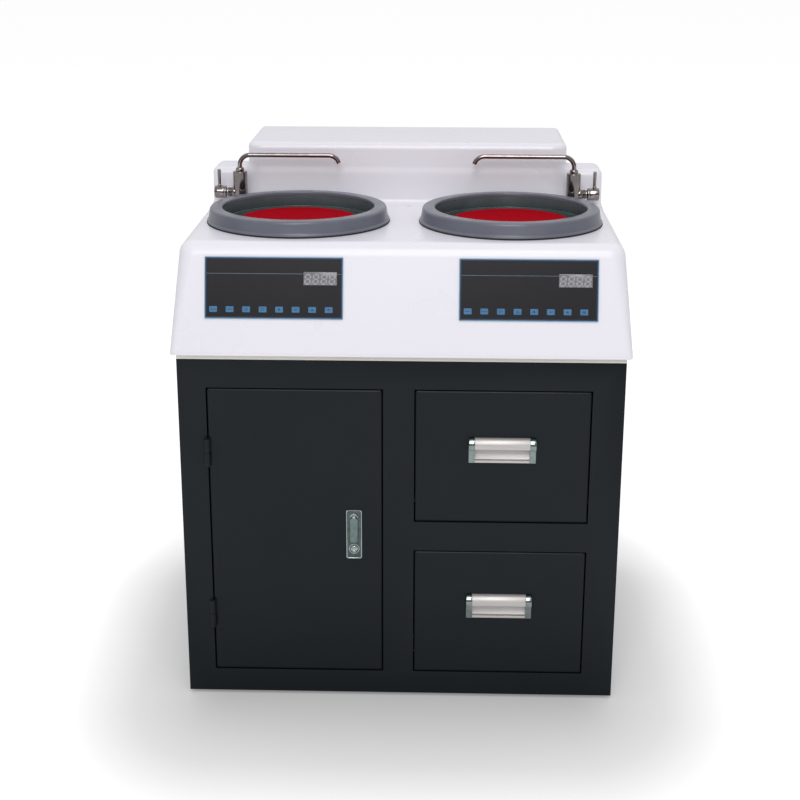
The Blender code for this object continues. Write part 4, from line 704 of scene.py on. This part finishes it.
x_side = spaced(
    0.0,
    half_width + 0.006,
    (hump_half - 0.03, hump_half + 0.016),
    (half_width - 0.052, half_width + 0.004),
)
y_lines = spaced(
    -half_depth - 0.0045,
    half_depth + 0.005,
    (-half_depth - 0.003, -half_depth + 0.075),
    (hump_front - 0.016, hump_front + 0.04),
    (shoulder_break - 0.012, shoulder_break + 0.016),
    (half_depth - 0.03, half_depth + 0.004),
)
z_lines = spaced(
    shell_low.z - skirt_drop,
    shell_high.z + 0.005,
    (shell_low.z - skirt_drop, shell_low.z + 0.004),
    (deck_z - 0.024, deck_z + 0.014),
    (shoulder_rear - 0.012, shoulder_top + 0.014),
    (shell_high.z - 0.016, shell_high.z + 0.004),
)
x_lines = np.concatenate([-x_side[:0:-1], x_side])
shell_points, shell_quads = net_over(top_distance, x_lines, y_lines, z_lines)


def shell_cutters():
    """Solids for what is cut through the shell: the bowls', taps', inlet's and drain's holes."""
    bowl_hole, tap_hole, drain_hole, collar_radius, reach = 0.131, 0.0083, 0.0113, 0.0075, 0.02
    parts = []
    for side in ("left", "right"):
        centre = round_piece(f"bowl_{side}")[2]
        parts.append(turned(oblong(0, deck_z - reach, bowl_hole, deck_z + reach), centre))
        low, high, centre, _ = round_piece(f"spout_{side}")
        tap_x = low.x + collar_radius if side == "left" else high.x - collar_radius
        shank = oblong(0, deck_z - reach, tap_hole, deck_z + reach)
        parts.append(turned(shank, (tap_x, centre[1], 0), steps=32))
    low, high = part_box("power_inlet")
    grown = Vector((0.0003, 0, 0.0003))
    parts.append(block_loops(low - grown, high + grown + Vector((0, reach, 0)), 0.0001, 0.00001))
    drain_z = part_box("drain_pipe")[0].z + 0.013
    outlet = oblong(0, half_depth - reach, drain_hole, half_depth + reach)
    parts.append(turned(outlet, (0, 0, drain_z), "Y", 48))
    return piece("shell_cutters", parts, [gelcoat], "root")


skin = bpy.data.meshes.new("moulded_top_skin")
skin.from_pydata(shell_points.tolist(), [], shell_quads.tolist())
shell = placed("moulded_top", skin, "root", ["top_housing"])
wall = shell.modifiers.new("wall", "SOLIDIFY")
wall.thickness = wall_thick
wall.offset = -1
wall.use_even_offset = True
cutters = shell_cutters()
holes = shell.modifiers.new("holes", "BOOLEAN")
holes.operation = "DIFFERENCE"
holes.solver = "EXACT"
holes.object = cutters
bpy.context.view_layer.update()
finished_shell = bpy.data.meshes.new_from_object(shell.evaluated_get(bpy.context.evaluated_depsgraph_get()))
shell.modifiers.clear()
shell.data = finished_shell
bpy.data.objects.remove(cutters)
finished_shell.shade_smooth()
finished_shell.set_sharp_from_angle(angle=math.radians(40))
finished_shell.materials.clear()
finished_shell.materials.append(gelcoat)
finished_shell.polygons.foreach_set("material_index", [0] * len(finished_shell.polygons))


# ================================================================ bowls
# Cups of dark moulded plastic, hung in the deck by a flange. A tall hub keeps the water off the spindle,
# and a stub lets it out below. Moulding leaves the wall with a soft sheen and every corner rounded.
bowl_plastic = patterned(
    "dark_bowl_plastic",
    0.36,
    ((25, 4), (0.0, (0.048, 0.066, 0.07)), (1.0, (0.108, 0.134, 0.14))),
    ((40, 2), (0.0, 0.14), (1.0, 0.4)),
    [((60, 2), 0.05, 0.0004)],
)
for side in ("left", "right"):
    low, high, centre, flange = round_piece(f"bowl_{side}")
    inner = flange - 0.017
    wall = 0.003
    lip = high.z
    under = low.z + 0.018
    floor_z = under + wall
    hub = 0.014
    cup = [(hub, under), (inner + wall, under), (inner + wall, lip - 0.002), (flange, lip - 0.002)]
    cup += [(flange, lip), (inner, lip), (inner, floor_z), (hub + 0.004, floor_z)]
    cup += [(hub + wall, floor_z + 0.034), (hub, floor_z + 0.034)]
    rounds = [0.001, 0.013, 0.001, 0.0008, 0.0008, 0.001, 0.011, 0.004, 0.0012, 0.0012]
    out = -1 if side == "left" else 1
    drain = (centre[0] - out * (inner - 0.027), centre[1], 0)
    stub = oblong(0.0074, under - 0.018, 0.009, floor_z - 0.0006)
    parts = [lathe(cup, rounds, centre, 7, steps=160, closed=True)]
    parts.append(lathe(stub, 0.0005, drain, steps=48, closed=True))
    piece(f"bowl_cup_{side}", parts, [bowl_plastic], "root", [f"bowl_{side}"])


# ================================================================ splash rings
# A push-on ring of grey moulded plastic round each bowl: a fat rounded rim, a wall that leans out and a
# small skirt. It sits over a thin black seal on the deck, and a dark lining closes its inner side.
ring_plastic = patterned(
    "grey_ring_plastic",
    0.3,
    ((18, 4), (0.0, (0.098, 0.105, 0.134)), (1.0, (0.158, 0.166, 0.202))),
    ((30, 2), (0.0, 0.22), (1.0, 0.4)),
    [((9, 2), 0.02, 0.002)],
)
for side in ("left", "right"):
    low, high, centre, outer = round_piece(f"splash_ring_{side}")
    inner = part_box(f"bowl_{side}")[1].x - centre[0] - 0.015
    seal = 0.0019
    base = low.z + seal
    lining = 0.0016
    ring = [(inner + lining, base + 0.004), (outer - 0.006, base + 0.004), (outer - 0.003, base)]
    ring += [(outer, base), (outer, base + 0.0021), (outer - 0.0022, base + 0.0042)]
    ring += [(outer - 0.004, high.z - 0.01), (outer - 0.0054, high.z), (inner - 0.0002, high.z)]
    ring += [(inner - 0.0002, high.z - 0.0062), (inner + lining, high.z - 0.0066)]
    rounds = [0.0003, 0.0005, 0.0004, 0.0008, 0.001, 0.005, 0.004, 0.0062, 0.0046, 0.0004, 0.0003]
    inside = oblong(inner, low.z + 0.0025, inner + lining - 0.0001, high.z - 0.0064)
    gasket = oblong(outer - 0.006, low.z - 0.0001, outer + 0.0006, low.z + seal - 0.0002)
    for name, outline, bends, cuts, finish, slot in (
        ("rim", ring, rounds, 8, ring_plastic, "grey_ring"),
        ("lining", inside, 0.0003, 3, bowl_plastic, "dark_bowl"),
        ("seal", gasket, 0.0007, 5, foot_rubber, "black_rubber"),
    ):
        parts = [lathe(outline, bends, centre, cuts, steps=192, closed=True)]
        piece(f"splash_ring_{name}_{side}", parts, [finish], "root", [f"splash_ring_{side}"])


# ================================================================ discs
# A platen of turned aluminium with a red polishing cloth glued on it. The cloth is a short, dense
# nap over a fine weave, so it is fully matt.
red_cloth = patterned(
    "red_polishing_cloth",
    1.0,
    ((320, 5), (0.3, (0.325, 0.002, 0.008)), (0.75, (0.385, 0.003, 0.011))),
    bumps=[((1500, 3), 0.5, 0.0003)],
    Specular_IOR_Level=0.02,
)
platen_metal = patterned(
    "turned_aluminium",
    0.32,
    ((120, 4), (0.3, (0.6, 0.6, 0.61)), (0.7, (0.76, 0.76, 0.77))),
    ((900, 2, (1, 1, 8)), (0.25, 0.24), (0.8, 0.42)),
    [((1200, 2, (0.2, 0.2, 3)), 0.12, 0.0002)],
    metallic=1.0,
)
for side in ("left", "right"):
    low, high, centre, rim = round_piece(f"platen_{side}")
    outline = [(0, low.z), (rim - 0.004, low.z), (rim, low.z + 0.004), (rim, high.z), (0, high.z)]
    disc = lathe(outline, 0.0008, centre, steps=160)
    body = f"disc_{side}"
    piece(f"platen_disc_{side}", [disc], [platen_metal], body, [f"platen_{side}"])
    node = f"polishing_cloth_{side}"
    low, high, centre, rim = round_piece(node)
    outline = [(0, low.z), (rim, low.z), (rim, high.z), (0.6 * rim, high.z), (0.3 * rim, high.z), (0, high.z)]
    disc = lathe(outline, [0, 0.0004, 0.0008, 0, 0, 0], centre, 4, steps=160)
    piece(f"cloth_disc_{side}", [disc], [red_cloth], body, [node])


# ================================================================ drives
# Under the deck, for each disc: a steel spindle in a flanged bearing sleeve, a vertical motor painted
# grey green, their turned pulleys under the base plate and a flat rubber belt round both.
motor_paint = patterned(
    "motor_paint",
    0.46,
    ((12, 4), (0.3, (0.085, 0.11, 0.105)), (0.75, (0.11, 0.138, 0.132))),
    ((30, 4), (0.25, 0.38), (0.8, 0.56)),
    [((380, 2), 0.25, 0.0004)],
)
belt_rubber = patterned(
    "belt_rubber",
    0.66,
    ((60,), (0.3, (0.01, 0.01, 0.011)), (0.75, (0.026, 0.026, 0.028))),
    bumps=[((900, 2), 0.3, 0.0002)],
)


def pulley_rim(lip, low_z, high_z):
    """A flanged pulley's outline from its lower face to its upper one, its lips as thick as they are high."""
    lip_thick = 0.003
    groove, start, end = lip - lip_thick, low_z + lip_thick, high_z - lip_thick
    return [(lip, low_z), (lip, start), (groove, start), (groove, end), (lip, end), (lip, high_z)]


for side in ("left", "right"):
    low, high, middle, outer = round_piece(f"spindle_{side}")
    axis = (middle[0], low.y + outer, 0)
    rim_top = low.z + 0.019
    seat = high.z - 0.006
    shaft = [(0, low.z), *pulley_rim(outer, low.z, rim_top), (0.01, rim_top), (0.01, seat)]
    shaft += [(0.032, seat), (0.032, high.z), (0, high.z)]
    parts = [lathe(shaft, 0.0006, axis, 4)]
    piece(f"spindle_shaft_{side}", parts, [turned_steel], f"disc_{side}", [f"spindle_{side}"])
    low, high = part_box(f"bearing_housing_{side}")
    bore = 0.0103
    sleeve = [(bore, low.z), (0.052, low.z), (0.052, low.z + 0.008), (0.03, low.z + 0.008)]
    sleeve += [(0.03, high.z), (bore, high.z)]
    parts = [lathe(sleeve, [0.0005, 0.0008, 0.0012, 0.003, 0.001, 0.0008], axis, closed=True)]
    piece(f"bearing_sleeve_{side}", parts, [turned_steel], "root", [f"bearing_housing_{side}"])
    low, high, middle, _ = round_piece(f"motor_{side}")
    axis = (axis[0], middle[1], 0)
    foot, top = low.z, high.z
    can = [(0.0073, foot), (0.056, foot), (0.056, foot + 0.01), (0.045, foot + 0.012), (0.045, top - 0.03)]
    can += [(0.042, top - 0.028), (0.042, top - 0.006), (0.033, top), (0, top)]
    can = eased(can, [0.0005, 0.001, 0.0015, 0.002, 0.001, 0.001, 0.002, 0.003, 0], 5, closed=False)
    can = np.vstack([can, [(0, top - 0.03), (0.0073, top - 0.03)]])
    parts = [turned(can, axis, closed=True)]
    piece(f"motor_can_{side}", parts, [motor_paint], "root", [f"motor_{side}"])
    node = f"motor_pulley_{side}"
    low, high, _, outer = round_piece(node)
    shaft = [(0, low.z), *pulley_rim(outer, low.z, rim_top), (0.007, rim_top), (0.007, high.z), (0, high.z)]
    parts = [lathe(shaft, 0.0006, axis, 4)]
    piece(f"motor_pulley_shaft_{side}", parts, [turned_steel], f"motor_rotor_{side}", [node])
    eased_node(f"drive_belt_{side}", f"flat_belt_{side}", 0.0005, belt_rubber, "root", 2)


# ================================================================ drain pipe and mains inlet
# The drain pipe is solvent-welded grey plastic tube. The inlet is a black moulded socket with three
# blades, snapped into the back of the top.
pipe_plastic = patterned(
    "grey_pipe_plastic",
    0.38,
    ((18, 4), (0.3, (0.4, 0.41, 0.42)), (0.75, (0.48, 0.49, 0.5))),
    ((30, 4), (0.25, 0.3), (0.8, 0.46)),
    [((500, 2), 0.08, 0.0002)],
)
eased_node("drain_pipe", "drain_tube", 0.0005, pipe_plastic, "root", 2)
socket_plastic = patterned(
    "black_socket_plastic",
    0.42,
    ((60,), (0.3, (0.01, 0.01, 0.011)), (0.75, (0.02, 0.02, 0.021))),
    ((90,), (0.25, 0.34), (0.8, 0.52)),
    [((1100, 2), 0.25, 0.0002)],
)
eased_node("power_inlet", "mains_inlet", 0.0006, socket_plastic, "root")


# ================================================================ taps
# Brass, turned and chrome plated: an upright body on the deck, a ringed neck with the valve's knob and
# its pin at the outer side, and a bent spout that swivels in the body's top under a collar.
tap_chrome = patterned(
    "tap_chrome",
    0.07,
    ((55, 4), (0.3, (0.22, 0.19, 0.185)), (0.75, (0.36, 0.325, 0.318))),
    ((90, 5), (0.35, 0.025), (0.85, 0.11)),
    [((130, 2), 0.02, 0.0004)],
    metallic=1.0,
)
# The spout's mouth is lined a little way in and closed by a near-black plug: painted shade that stands for
# the dark bore beyond it.
bore_shade_tones = ((200,), (0.3, (0.012, 0.011, 0.01)), (0.75, (0.035, 0.032, 0.028)))
tap_bore_shade = patterned("tap_bore_painted_shade", 0.7, bore_shade_tones)


def swept(route, radii):
    """A tube along a route in one upright plane: circles of the given radii, each square to the route there.
    Its way is taken from the points before and after, and the plane's own normal is Y."""
    way = np.gradient(route, axis=0)
    way /= np.linalg.norm(way, axis=1, keepdims=True)
    across = np.column_stack([way[:, 2], np.zeros(len(way)), -way[:, 0]])
    turn = np.linspace(0, 2 * np.pi, 40, endpoint=False)[None, :, None]
    radii = np.asarray(radii, float)[:, None, None]
    normal = np.array([0.0, 1.0, 0.0])
    return route[:, None] + radii * (np.cos(turn) * across[:, None] + np.sin(turn) * normal)


for side, out in (("left", -1), ("right", 1)):
    low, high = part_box(f"tap_body_{side}")
    base_radius = (high.y - low.y) / 2
    tap_y = (low.y + high.y) / 2
    tap_x = low.x + base_radius if out > 0 else high.x - base_radius
    top = high.z
    base = low.z + 0.045
    radius = 0.0125
    column = [(0.0, low.z), (0.008, low.z), (0.008, base), (base_radius, base), (base_radius, base + 0.0024)]
    column += [(radius + 0.0012, base + 0.0044), (radius, base + 0.0052), (radius, top - 0.0014)]
    column += [(radius - 0.0016, top), (0.0062, top), (0.0058, top - 0.0012), (0.0043, top - 0.0012)]
    column += [(0.0043, top - 0.0143), (0, top - 0.0143)]
    rounds = [0, 0.0008, 0.0004, 0.0007, 0.0012, 0.0008, 0.0004]
    rounds += [0.0007, 0.0007, 0.0003, 0.0002, 0.0003, 0.0003, 0]
    valve = (tap_x, tap_y, base + 0.0227)
    neck = [(0.0, 0.004), (0.0092, 0.004), (0.0092, 0.0142)]
    for at in (0.015, 0.0172, 0.0194):
        neck += [(0.0073, at), (0.0084, at + 0.0006), (0.0084, at + 0.0014), (0.0073, at + 0.002)]
    neck += [(0.0074, 0.0222), (0.0074, 0.024), (0.0043, 0.024), (0.0043, 0.0158), (0, 0.0158)]
    parts = [lathe(column, rounds, (tap_x, tap_y, 0))]
    parts.append(lathe(np.array(neck) * (1, out), 0.0004, valve, 4, 72, "X"))
    piece(f"tap_column_{side}", parts, [tap_chrome], "root", [f"tap_body_{side}"], sharp=32)
    low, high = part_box(f"tap_handle_{side}")
    far = abs((low.x if out < 0 else high.x) - tap_x)
    near = far - 0.021
    knob = [(0, near - 0.008), (0.004, near - 0.008), (0.004, near), (0.0098, near)]
    knob += [(0.011, near + 0.0012), (0.011, near + 0.003), (0.0104, near + 0.0036)]
    knob += [(0.0104, near + 0.0046), (0.011, near + 0.0052), (0.011, far - 0.0016)]
    knob += [(0.0096, far), (0.0072, far), (0.0066, far - 0.0006), (0, far - 0.0006)]
    foot = valve[2] + 0.0104
    pin = [(0, foot), (0.0036, foot), (0.0036, foot + 0.002), (0.0027, foot + 0.0028)]
    pin += [(0.003, high.z - 0.0012), (0.0021, high.z), (0, high.z)]
    parts = [lathe(np.array(knob) * (1, out), 0.0004, valve, 4, 72, "X")]
    parts.append(lathe(pin, 0.0005, (tap_x + out * (near + 0.0126), tap_y, 0), 4, 40))
    node = f"tap_handle_{side}"
    piece(f"tap_knob_{side}", parts, [tap_chrome], node, [node], sharp=32)
    node = f"spout_{side}"
    tube = 0.004
    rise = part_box(node)[1].z - tube - top
    bend = 0.018
    tip_bend = 0.02
    reach = 0.176
    turn_in = np.linspace(np.pi, np.pi / 2, 20)
    turn_down = np.linspace(np.pi / 2, math.radians(40), 16)
    line = [(0, -0.0135), (0, -0.004), (0, 0.003), (0, 0.012), (0, rise - bend - 0.004)]
    line += list(zip(bend + bend * np.cos(turn_in), rise - bend + bend * np.sin(turn_in)))
    line += [(x, rise) for x in np.linspace(bend + 0.006, reach - tip_bend - 0.004, 14)]
    tip_x, tip_z = reach - tip_bend, rise - tip_bend
    line += list(zip(tip_x + tip_bend * np.cos(turn_down), tip_z + tip_bend * np.sin(turn_down)))
    end_x, end_z = line[-1]
    line += [(end_x + 0.0016, end_z - 0.003), (end_x + 0.0033, end_z - 0.006)]
    line = np.array(line)
    route = np.column_stack([tap_x - out * line[:, 0], np.full(len(line), tap_y), top + line[:, 1]])
    mouth = route[-1]
    back = (route[-2] - mouth) / np.linalg.norm(route[-2] - mouth)
    circle = swept(route[-2:], [1, 1])[1] - mouth
    rings = [mouth + 0.0033 * circle]
    rings += [mouth + 0.0031 * circle + step * back for step in (0.0004, 0.004, 0.0065)]
    outer = swept(route, [tube] * (len(route) - 1) + [tube - 0.0002])
    collar = [(0.0041, top + 0.0003), (0.0074, top + 0.0003), (0.0074, top + 0.0042)]
    collar += [(0.0058, top + 0.0064), (0.0046, top + 0.0069), (0.0041, top + 0.0064)]
    # The sleeve and plug inside the mouth take the near-black painted shade.
    parts = [stacked([*outer, rings[0]], cap_end=False), (*stacked(rings, cap_start=False), 1)]
    parts.append(lathe(collar, 0.0006, (tap_x, tap_y, 0), 4, 72, closed=True))
    piece(f"tap_{node}", parts, [tap_chrome, tap_bore_shade], node, [node])


# ================================================================ control panels
# A printed membrane on a stiff backing, glued to the sloping front: eight embossed keys, a thin rule and
# a border. Four seven-segment digits, unlit, show as pale bars behind the window.
film = patterned(
    "panel_film",
    0.3,
    ((30, 4), (0.3, (0.0125, 0.0112, 0.014)), (0.75, (0.014, 0.0125, 0.0156))),
    ((7, 3), (0.25, 0.27), (0.8, 0.33)),
    [((1300, 2), 0.04, 0.0001)],
    Specular_IOR_Level=0.25,
)
navy_print, sky_print, key_print, window_grey, segment_grey = (
    patterned(name, roughness, ((scale,), (0.3, dark), (0.75, light)), ((80,), (0.25, low), (0.8, high)))
    for name, roughness, scale, dark, light, low, high in (
        ("panel_navy_print", 0.34, 60, (0.008, 0.028, 0.062), (0.012, 0.036, 0.078), 0.28, 0.42),
        ("panel_sky_print", 0.34, 60, (0.1, 0.36, 0.62), (0.13, 0.42, 0.7), 0.28, 0.42),
        ("panel_key_print", 0.3, 70, (0.04, 0.15, 0.3), (0.05, 0.18, 0.35), 0.24, 0.38),
        ("display_window_grey", 0.16, 60, (0.185, 0.18, 0.19), (0.215, 0.21, 0.22), 0.12, 0.24),
        ("display_segment_grey", 0.2, 90, (0.31, 0.305, 0.315), (0.36, 0.355, 0.365), 0.14, 0.26),
    )
)
rule_tones = ((70,), (0.3, (0.11, 0.17, 0.22)), (0.75, (0.15, 0.22, 0.28)))
rule_print = patterned("panel_rule_print", 0.36, rule_tones)
panel_slope = math.atan2(front_lean, deck_z - shell_low.z)
half_y = 0.0485
face = 0.0019
print_low, print_high = face - 0.0001, face + 0.00005
key_kinds = ("dashes", "dashes", "ring", "ring", "square", "bar", "up", "down")
first_key, key_pitch, key_y = -0.0953, 0.026, -0.0339
digit_pitch = 0.0128


def about(x, y, half_x, half_y):
    """A rectangle's left, bottom, right and top, from its middle and its half sizes."""
    return x - half_x, y - half_y, x + half_x, y + half_y


def in_panel(rows, there, number, closed=False):
    """A part from loops in a panel's own plane, carried by a 4 x 4 matrix to where the panel stands."""
    points, faces = stacked(rows, closed=closed)
    return points @ there[:3, :3].T + there[:3, 3], faces, number


def pad(outline, low, high, there, number=0, ease=0.0):
    """A flat outline in a panel's plane, raised between two heights over it, its upper rim drawn in."""
    outline = np.asarray(outline, float)
    middle = (outline.max(0) + outline.min(0)) / 2
    shrink = 1 - ease / np.abs(outline - middle).max(0)
    rows = []
    for share, height in ((1, low), (1, high - ease * 0.6), (shrink, high)):
        rows.append(np.insert(middle + (outline - middle) * share, 2, height, axis=1))
    return in_panel(rows, there, number)


def printed_band(x, y, wide, there, number):
    """A printed band of one width just inside a rectangle's edge, as four thin bars."""
    bars = [oblong(-x, y - wide, x, y), oblong(-x, -y, x, wide - y)]
    bars += [oblong(-x, wide - y, wide - x, y - wide), oblong(x - wide, wide - y, x, y - wide)]
    return [pad(bar, print_low, print_high, there, number) for bar in bars]


def key_marks(kind, x, y):
    """The small dark marks on a key, as outlines: a row of dashes, a ring, a bar, a square or a triangle."""
    if kind == "dashes":
        places = (x - 0.003, x, x + 0.003)
        return [oblong(at - 0.001, y - 0.0006, at + 0.001, y + 0.0007) for at in places]
    if kind == "ring":
        turn = np.pi / 4 * np.arange(9)
        ways = np.column_stack([np.cos(turn), np.sin(turn)])
        rims = 0.0026 * ways + (x, y), 0.0019 * ways + (x, y)
        return [[rims[0][i], rims[0][i + 1], rims[1][i + 1], rims[1][i]] for i in range(8)]
    if kind == "bar":
        return [oblong(*about(x, y, 0.0022, 0.0006))]
    if kind == "square":
        return [oblong(*about(x, y, 0.0015, 0.0015))]
    up = 1 if kind == "up" else -1
    return [[(x - 0.0024 * up, y - 0.0014 * up), (x + 0.0024 * up, y - 0.0014 * up), (x, y + 0.002 * up)]]


def digit_bars(x, y, wide, tall, thick):
    """The seven bars of one digit, with pointed ends, about its middle and with a slight slant."""
    half, gap, slant = thick / 2, thick * 0.22, 0.1
    places = [(0, up, True) for up in (tall / 2, 0, -tall / 2)]
    places += [(across, up, False) for up in (tall / 4, -tall / 4) for across in (-wide / 2, wide / 2)]
    bars = []
    for across, up, flat in places:
        long = (wide if flat else tall / 2) / 2 - gap
        bar = [(-long, 0), (half - long, -half), (long - half, -half)]
        bar += [(long, 0), (long - half, half), (half - long, half)]
        if not flat:
            bar = [(-v, u) for u, v in bar]
        bars.append([(x + across + u + slant * (up + v), y + up + v) for u, v in bar])
    return bars


for side in ("left", "right"):
    low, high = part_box(f"control_panel_{side}")
    window_low, window_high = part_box(f"speed_display_{side}")
    middle_x = (low.x + high.x) / 2
    middle_z = (low.z + high.z) / 2 - 0.0011 * math.sin(panel_slope)
    middle_y = -half_depth + math.tan(panel_slope) * (middle_z - shell_low.z)
    tilt = Matrix.Rotation(math.pi / 2 - panel_slope, 4, "X")
    there = np.array(Matrix.Translation((middle_x, middle_y, middle_z)) @ tilt)
    half_x = (high.x - low.x) / 2
    display_x = (window_low.x + window_high.x) / 2 - middle_x
    display_y = half_y - 0.0334
    hole = round_box(about(display_x, display_y, 0.0263, 0.0105), 0.0006)
    edge = round_box(about(0, 0, half_x, half_y), 0.0012)
    rim = edge * (1 - 0.0002 / np.abs(edge).max(0))
    rows = [(hole, 0.0003), (edge, 0.0003), (edge, face - 0.0002), (rim, face), (hole, face)]
    rows = [np.insert(flat, 2, height, axis=1) for flat, height in rows]
    parts = [in_panel(rows, there, 0, closed=True)]
    parts += printed_band(half_x - 0.0002, half_y - 0.0002, 0.0009, there, 1)
    parts += printed_band(half_x - 0.0011, half_y - 0.0011, 0.002, there, 2)
    rule_y = half_y - 0.0262
    for start, end in ((0.0031 - half_x, display_x - 0.0268), (display_x + 0.0268, half_x - 0.0031)):
        rule = oblong(start, rule_y - 0.0003, end, rule_y + 0.0003)
        parts.append(pad(rule, print_low, print_high, there, 3))
    for index, kind in enumerate(key_kinds):
        x = first_key + key_pitch * index
        key = round_box(about(x, key_y, 0.0062, 0.0046), 0.0014)
        parts.append(pad(key, print_low, face + 0.0003, there, 4, ease=0.0004))
        parts += [pad(mark, face + 0.0002, face + 0.00036, there, 2) for mark in key_marks(kind, x, key_y)]
    finishes = [film, sky_print, navy_print, rule_print, key_print]
    node = f"control_panel_{side}"
    piece(f"membrane_panel_{side}", parts, finishes, "root", [node], sharp=15)
    window = round_box(about(display_x, display_y, 0.026, 0.0102), 0.0005)
    parts = [pad(window, face - 0.012, face, there, 0, ease=0.0003)]
    turn = np.linspace(0, 2 * np.pi, 20, endpoint=False)
    dot = 0.0008 * np.column_stack([np.cos(turn), np.sin(turn)])
    for index in range(4):
        x = display_x + (index - 1.5) * digit_pitch
        bars = digit_bars(x - 0.0004, display_y - 0.001, 0.0078, 0.0146, 0.0026)
        bars.append(dot + (x + 0.0055, display_y - 0.0086))
        parts += [pad(bar, face - 0.0001, face + 0.00004, there, 1) for bar in bars]
    finishes = [window_grey, segment_grey]
    piece(f"digit_display_{side}", parts, finishes, "root", [f"speed_display_{side}"])


# ================================================================ studio
# A pale floor and a soft white studio: two large lights high in front, and an even surround that is
# darker towards the horizon, so that the chrome has something to show. The floor glows faintly, so that
# it ends in white, and less onto the machine than into the lens. A soft shadow round the machine is
# painted into the floor's colour and glow.
floor_mesh = bpy.data.meshes.new("studio_floor")
floor_mesh.from_pydata([(-40, -40, 0), (40, -40, 0), (40, 40, 0), (-40, 40, 0)], [], [(0, 1, 2, 3)])
floor = bpy.data.objects.new("studio_floor", floor_mesh)
bpy.context.scene.collection.objects.link(floor)
glow_up, glow_seen = 0.14, 0.52
floor_paint = new_finish("studio_floor_paint", 1.0, Specular_IOR_Level=0.0, Emission_Strength=glow_seen)


def worked_out(operation, first, second=0.0):
    """One step of arithmetic in the floor's material, on an output and either a number or another output."""
    links = {0: first} if isinstance(second, float) else {0: first, 1: second}
    node = add_node(floor_paint, "ShaderNodeMath", links, operation=operation)
    if len(links) == 1:
        node.inputs[1].default_value = second
    return node.outputs[0]


# A shadow is painted into the floor's colour and glow: darkest at an oblong under the machine and growing
# lighter with the distance from it, scaled along each axis.
place = add_node(floor_paint, "ShaderNodeTexCoord").outputs["Object"]
moved = add_node(floor_paint, "ShaderNodeMapping", {"Vector": place}, Location=(0, 0.1, 0)).outputs["Vector"]
floor_at = add_node(floor_paint, "ShaderNodeSeparateXYZ", {"Vector": moved}).outputs
beyond = []
for axis, half, reach in (("X", 0.29, 0.31), ("Y", 0.2, 0.44)):
    outside = worked_out("MAXIMUM", worked_out("SUBTRACT", worked_out("ABSOLUTE", floor_at[axis]), half))
    beyond.append(worked_out("POWER", worked_out("DIVIDE", outside, reach), 2.0))
away = worked_out("SQRT", worked_out("ADD", *beyond))
shade = ramp(floor_paint, away, (0.0, 0.41), (0.5, 0.56), (1.0, 0.84))
seen = add_node(floor_paint, "ShaderNodeLightPath").outputs["Is Camera Ray"]
glow = add_node(floor_paint, "ShaderNodeMapRange", {"Value": seen}, To_Min=glow_up, To_Max=glow_seen)
dress(floor_paint, shade)
floor_shader = floor_paint.node_tree.nodes["Principled BSDF"].inputs
# The glow carries the same painted shadow as the floor's colour.
floor_paint.node_tree.links.new(shade, floor_shader["Emission Color"])
floor_paint.node_tree.links.new(glow.outputs["Result"], floor_shader["Emission Strength"])
floor_mesh.materials.append(floor_paint)

# The surround is brighter upwards and behind the machine, and plain white where the lens sees it.
world = bpy.data.worlds.new("studio")
bpy.context.scene.world = world
world.use_nodes = True
place = add_node(world, "ShaderNodeTexCoord").outputs["Generated"]
sky_at = add_node(world, "ShaderNodeSeparateXYZ", {0: place}).outputs
low_glow, middle_glow, high_glow = (0.16, 0.16, 0.165), (0.3, 0.3, 0.31), (0.62, 0.62, 0.63)
upward = ramp(world, sky_at["Z"], (0.0, low_glow), (0.22, middle_glow), (0.75, high_glow))
behind = ramp(world, sky_at["Y"], (0.05, 0.0), (0.7, (0.42, 0.42, 0.43)))
sky_sum = add_node(world, "ShaderNodeMix", data_type="RGBA", blend_type="ADD")
sky_sum.inputs[0].default_value = 1.0
sky_mix = add_node(world, "ShaderNodeMix", data_type="RGBA")
sky_mix.inputs[7].default_value = (1.0, 1.0, 1.0, 1)
surround = world.node_tree.nodes["Background"]
surround.inputs["Strength"].default_value = 1.0
seen = add_node(world, "ShaderNodeLightPath").outputs["Is Camera Ray"]
for output, socket in (
    (upward, sky_sum.inputs[6]),
    (behind, sky_sum.inputs[7]),
    (seen, sky_mix.inputs[0]),
    (sky_sum.outputs[2], sky_mix.inputs[6]),
    (sky_mix.outputs[2], surround.inputs["Color"]),
):
    world.node_tree.links.new(output, socket)


def soft_light(name, place, target, size, power, colour=(1, 1, 1)):
    """A square area light at a place, turned towards a target."""
    light = bpy.data.lights.new(name, "AREA")
    light.shape = "SQUARE"
    light.size = size
    light.energy = power
    light.color = colour
    made = bpy.data.objects.new(name, light)
    bpy.context.scene.collection.objects.link(made)
    made.location = place
    made.rotation_euler = (Vector(target) - Vector(place)).to_track_quat("-Z", "Y").to_euler()


soft_light("key_light", (0.2, -1.85, 3.5), (0, 0, 0.75), 1.3, 25)
soft_light("front_light", (-0.3, -6.0, 4.6), (0, 0, 0.6), 3.0, 146, (0.98, 0.98, 1.0))

camera = bpy.data.objects.new("camera", bpy.data.cameras.new("camera"))
bpy.context.scene.collection.objects.link(camera)
camera.location = (0.0615, -2.621, 1.273)
aside, downward, roll = 0.02681, 0.31015, 0.00264
camera_turn = Matrix.Rotation(aside, 3, "Z") @ Matrix.Rotation(math.pi / 2 - downward, 3, "X")
camera.rotation_euler = (camera_turn @ Matrix.Rotation(roll, 3, "Z")).to_euler()
camera.data.sensor_width = 36
camera.data.lens = 68.9
bpy.context.scene.camera = camera
bpy.context.scene.view_settings.view_transform = "Standard"
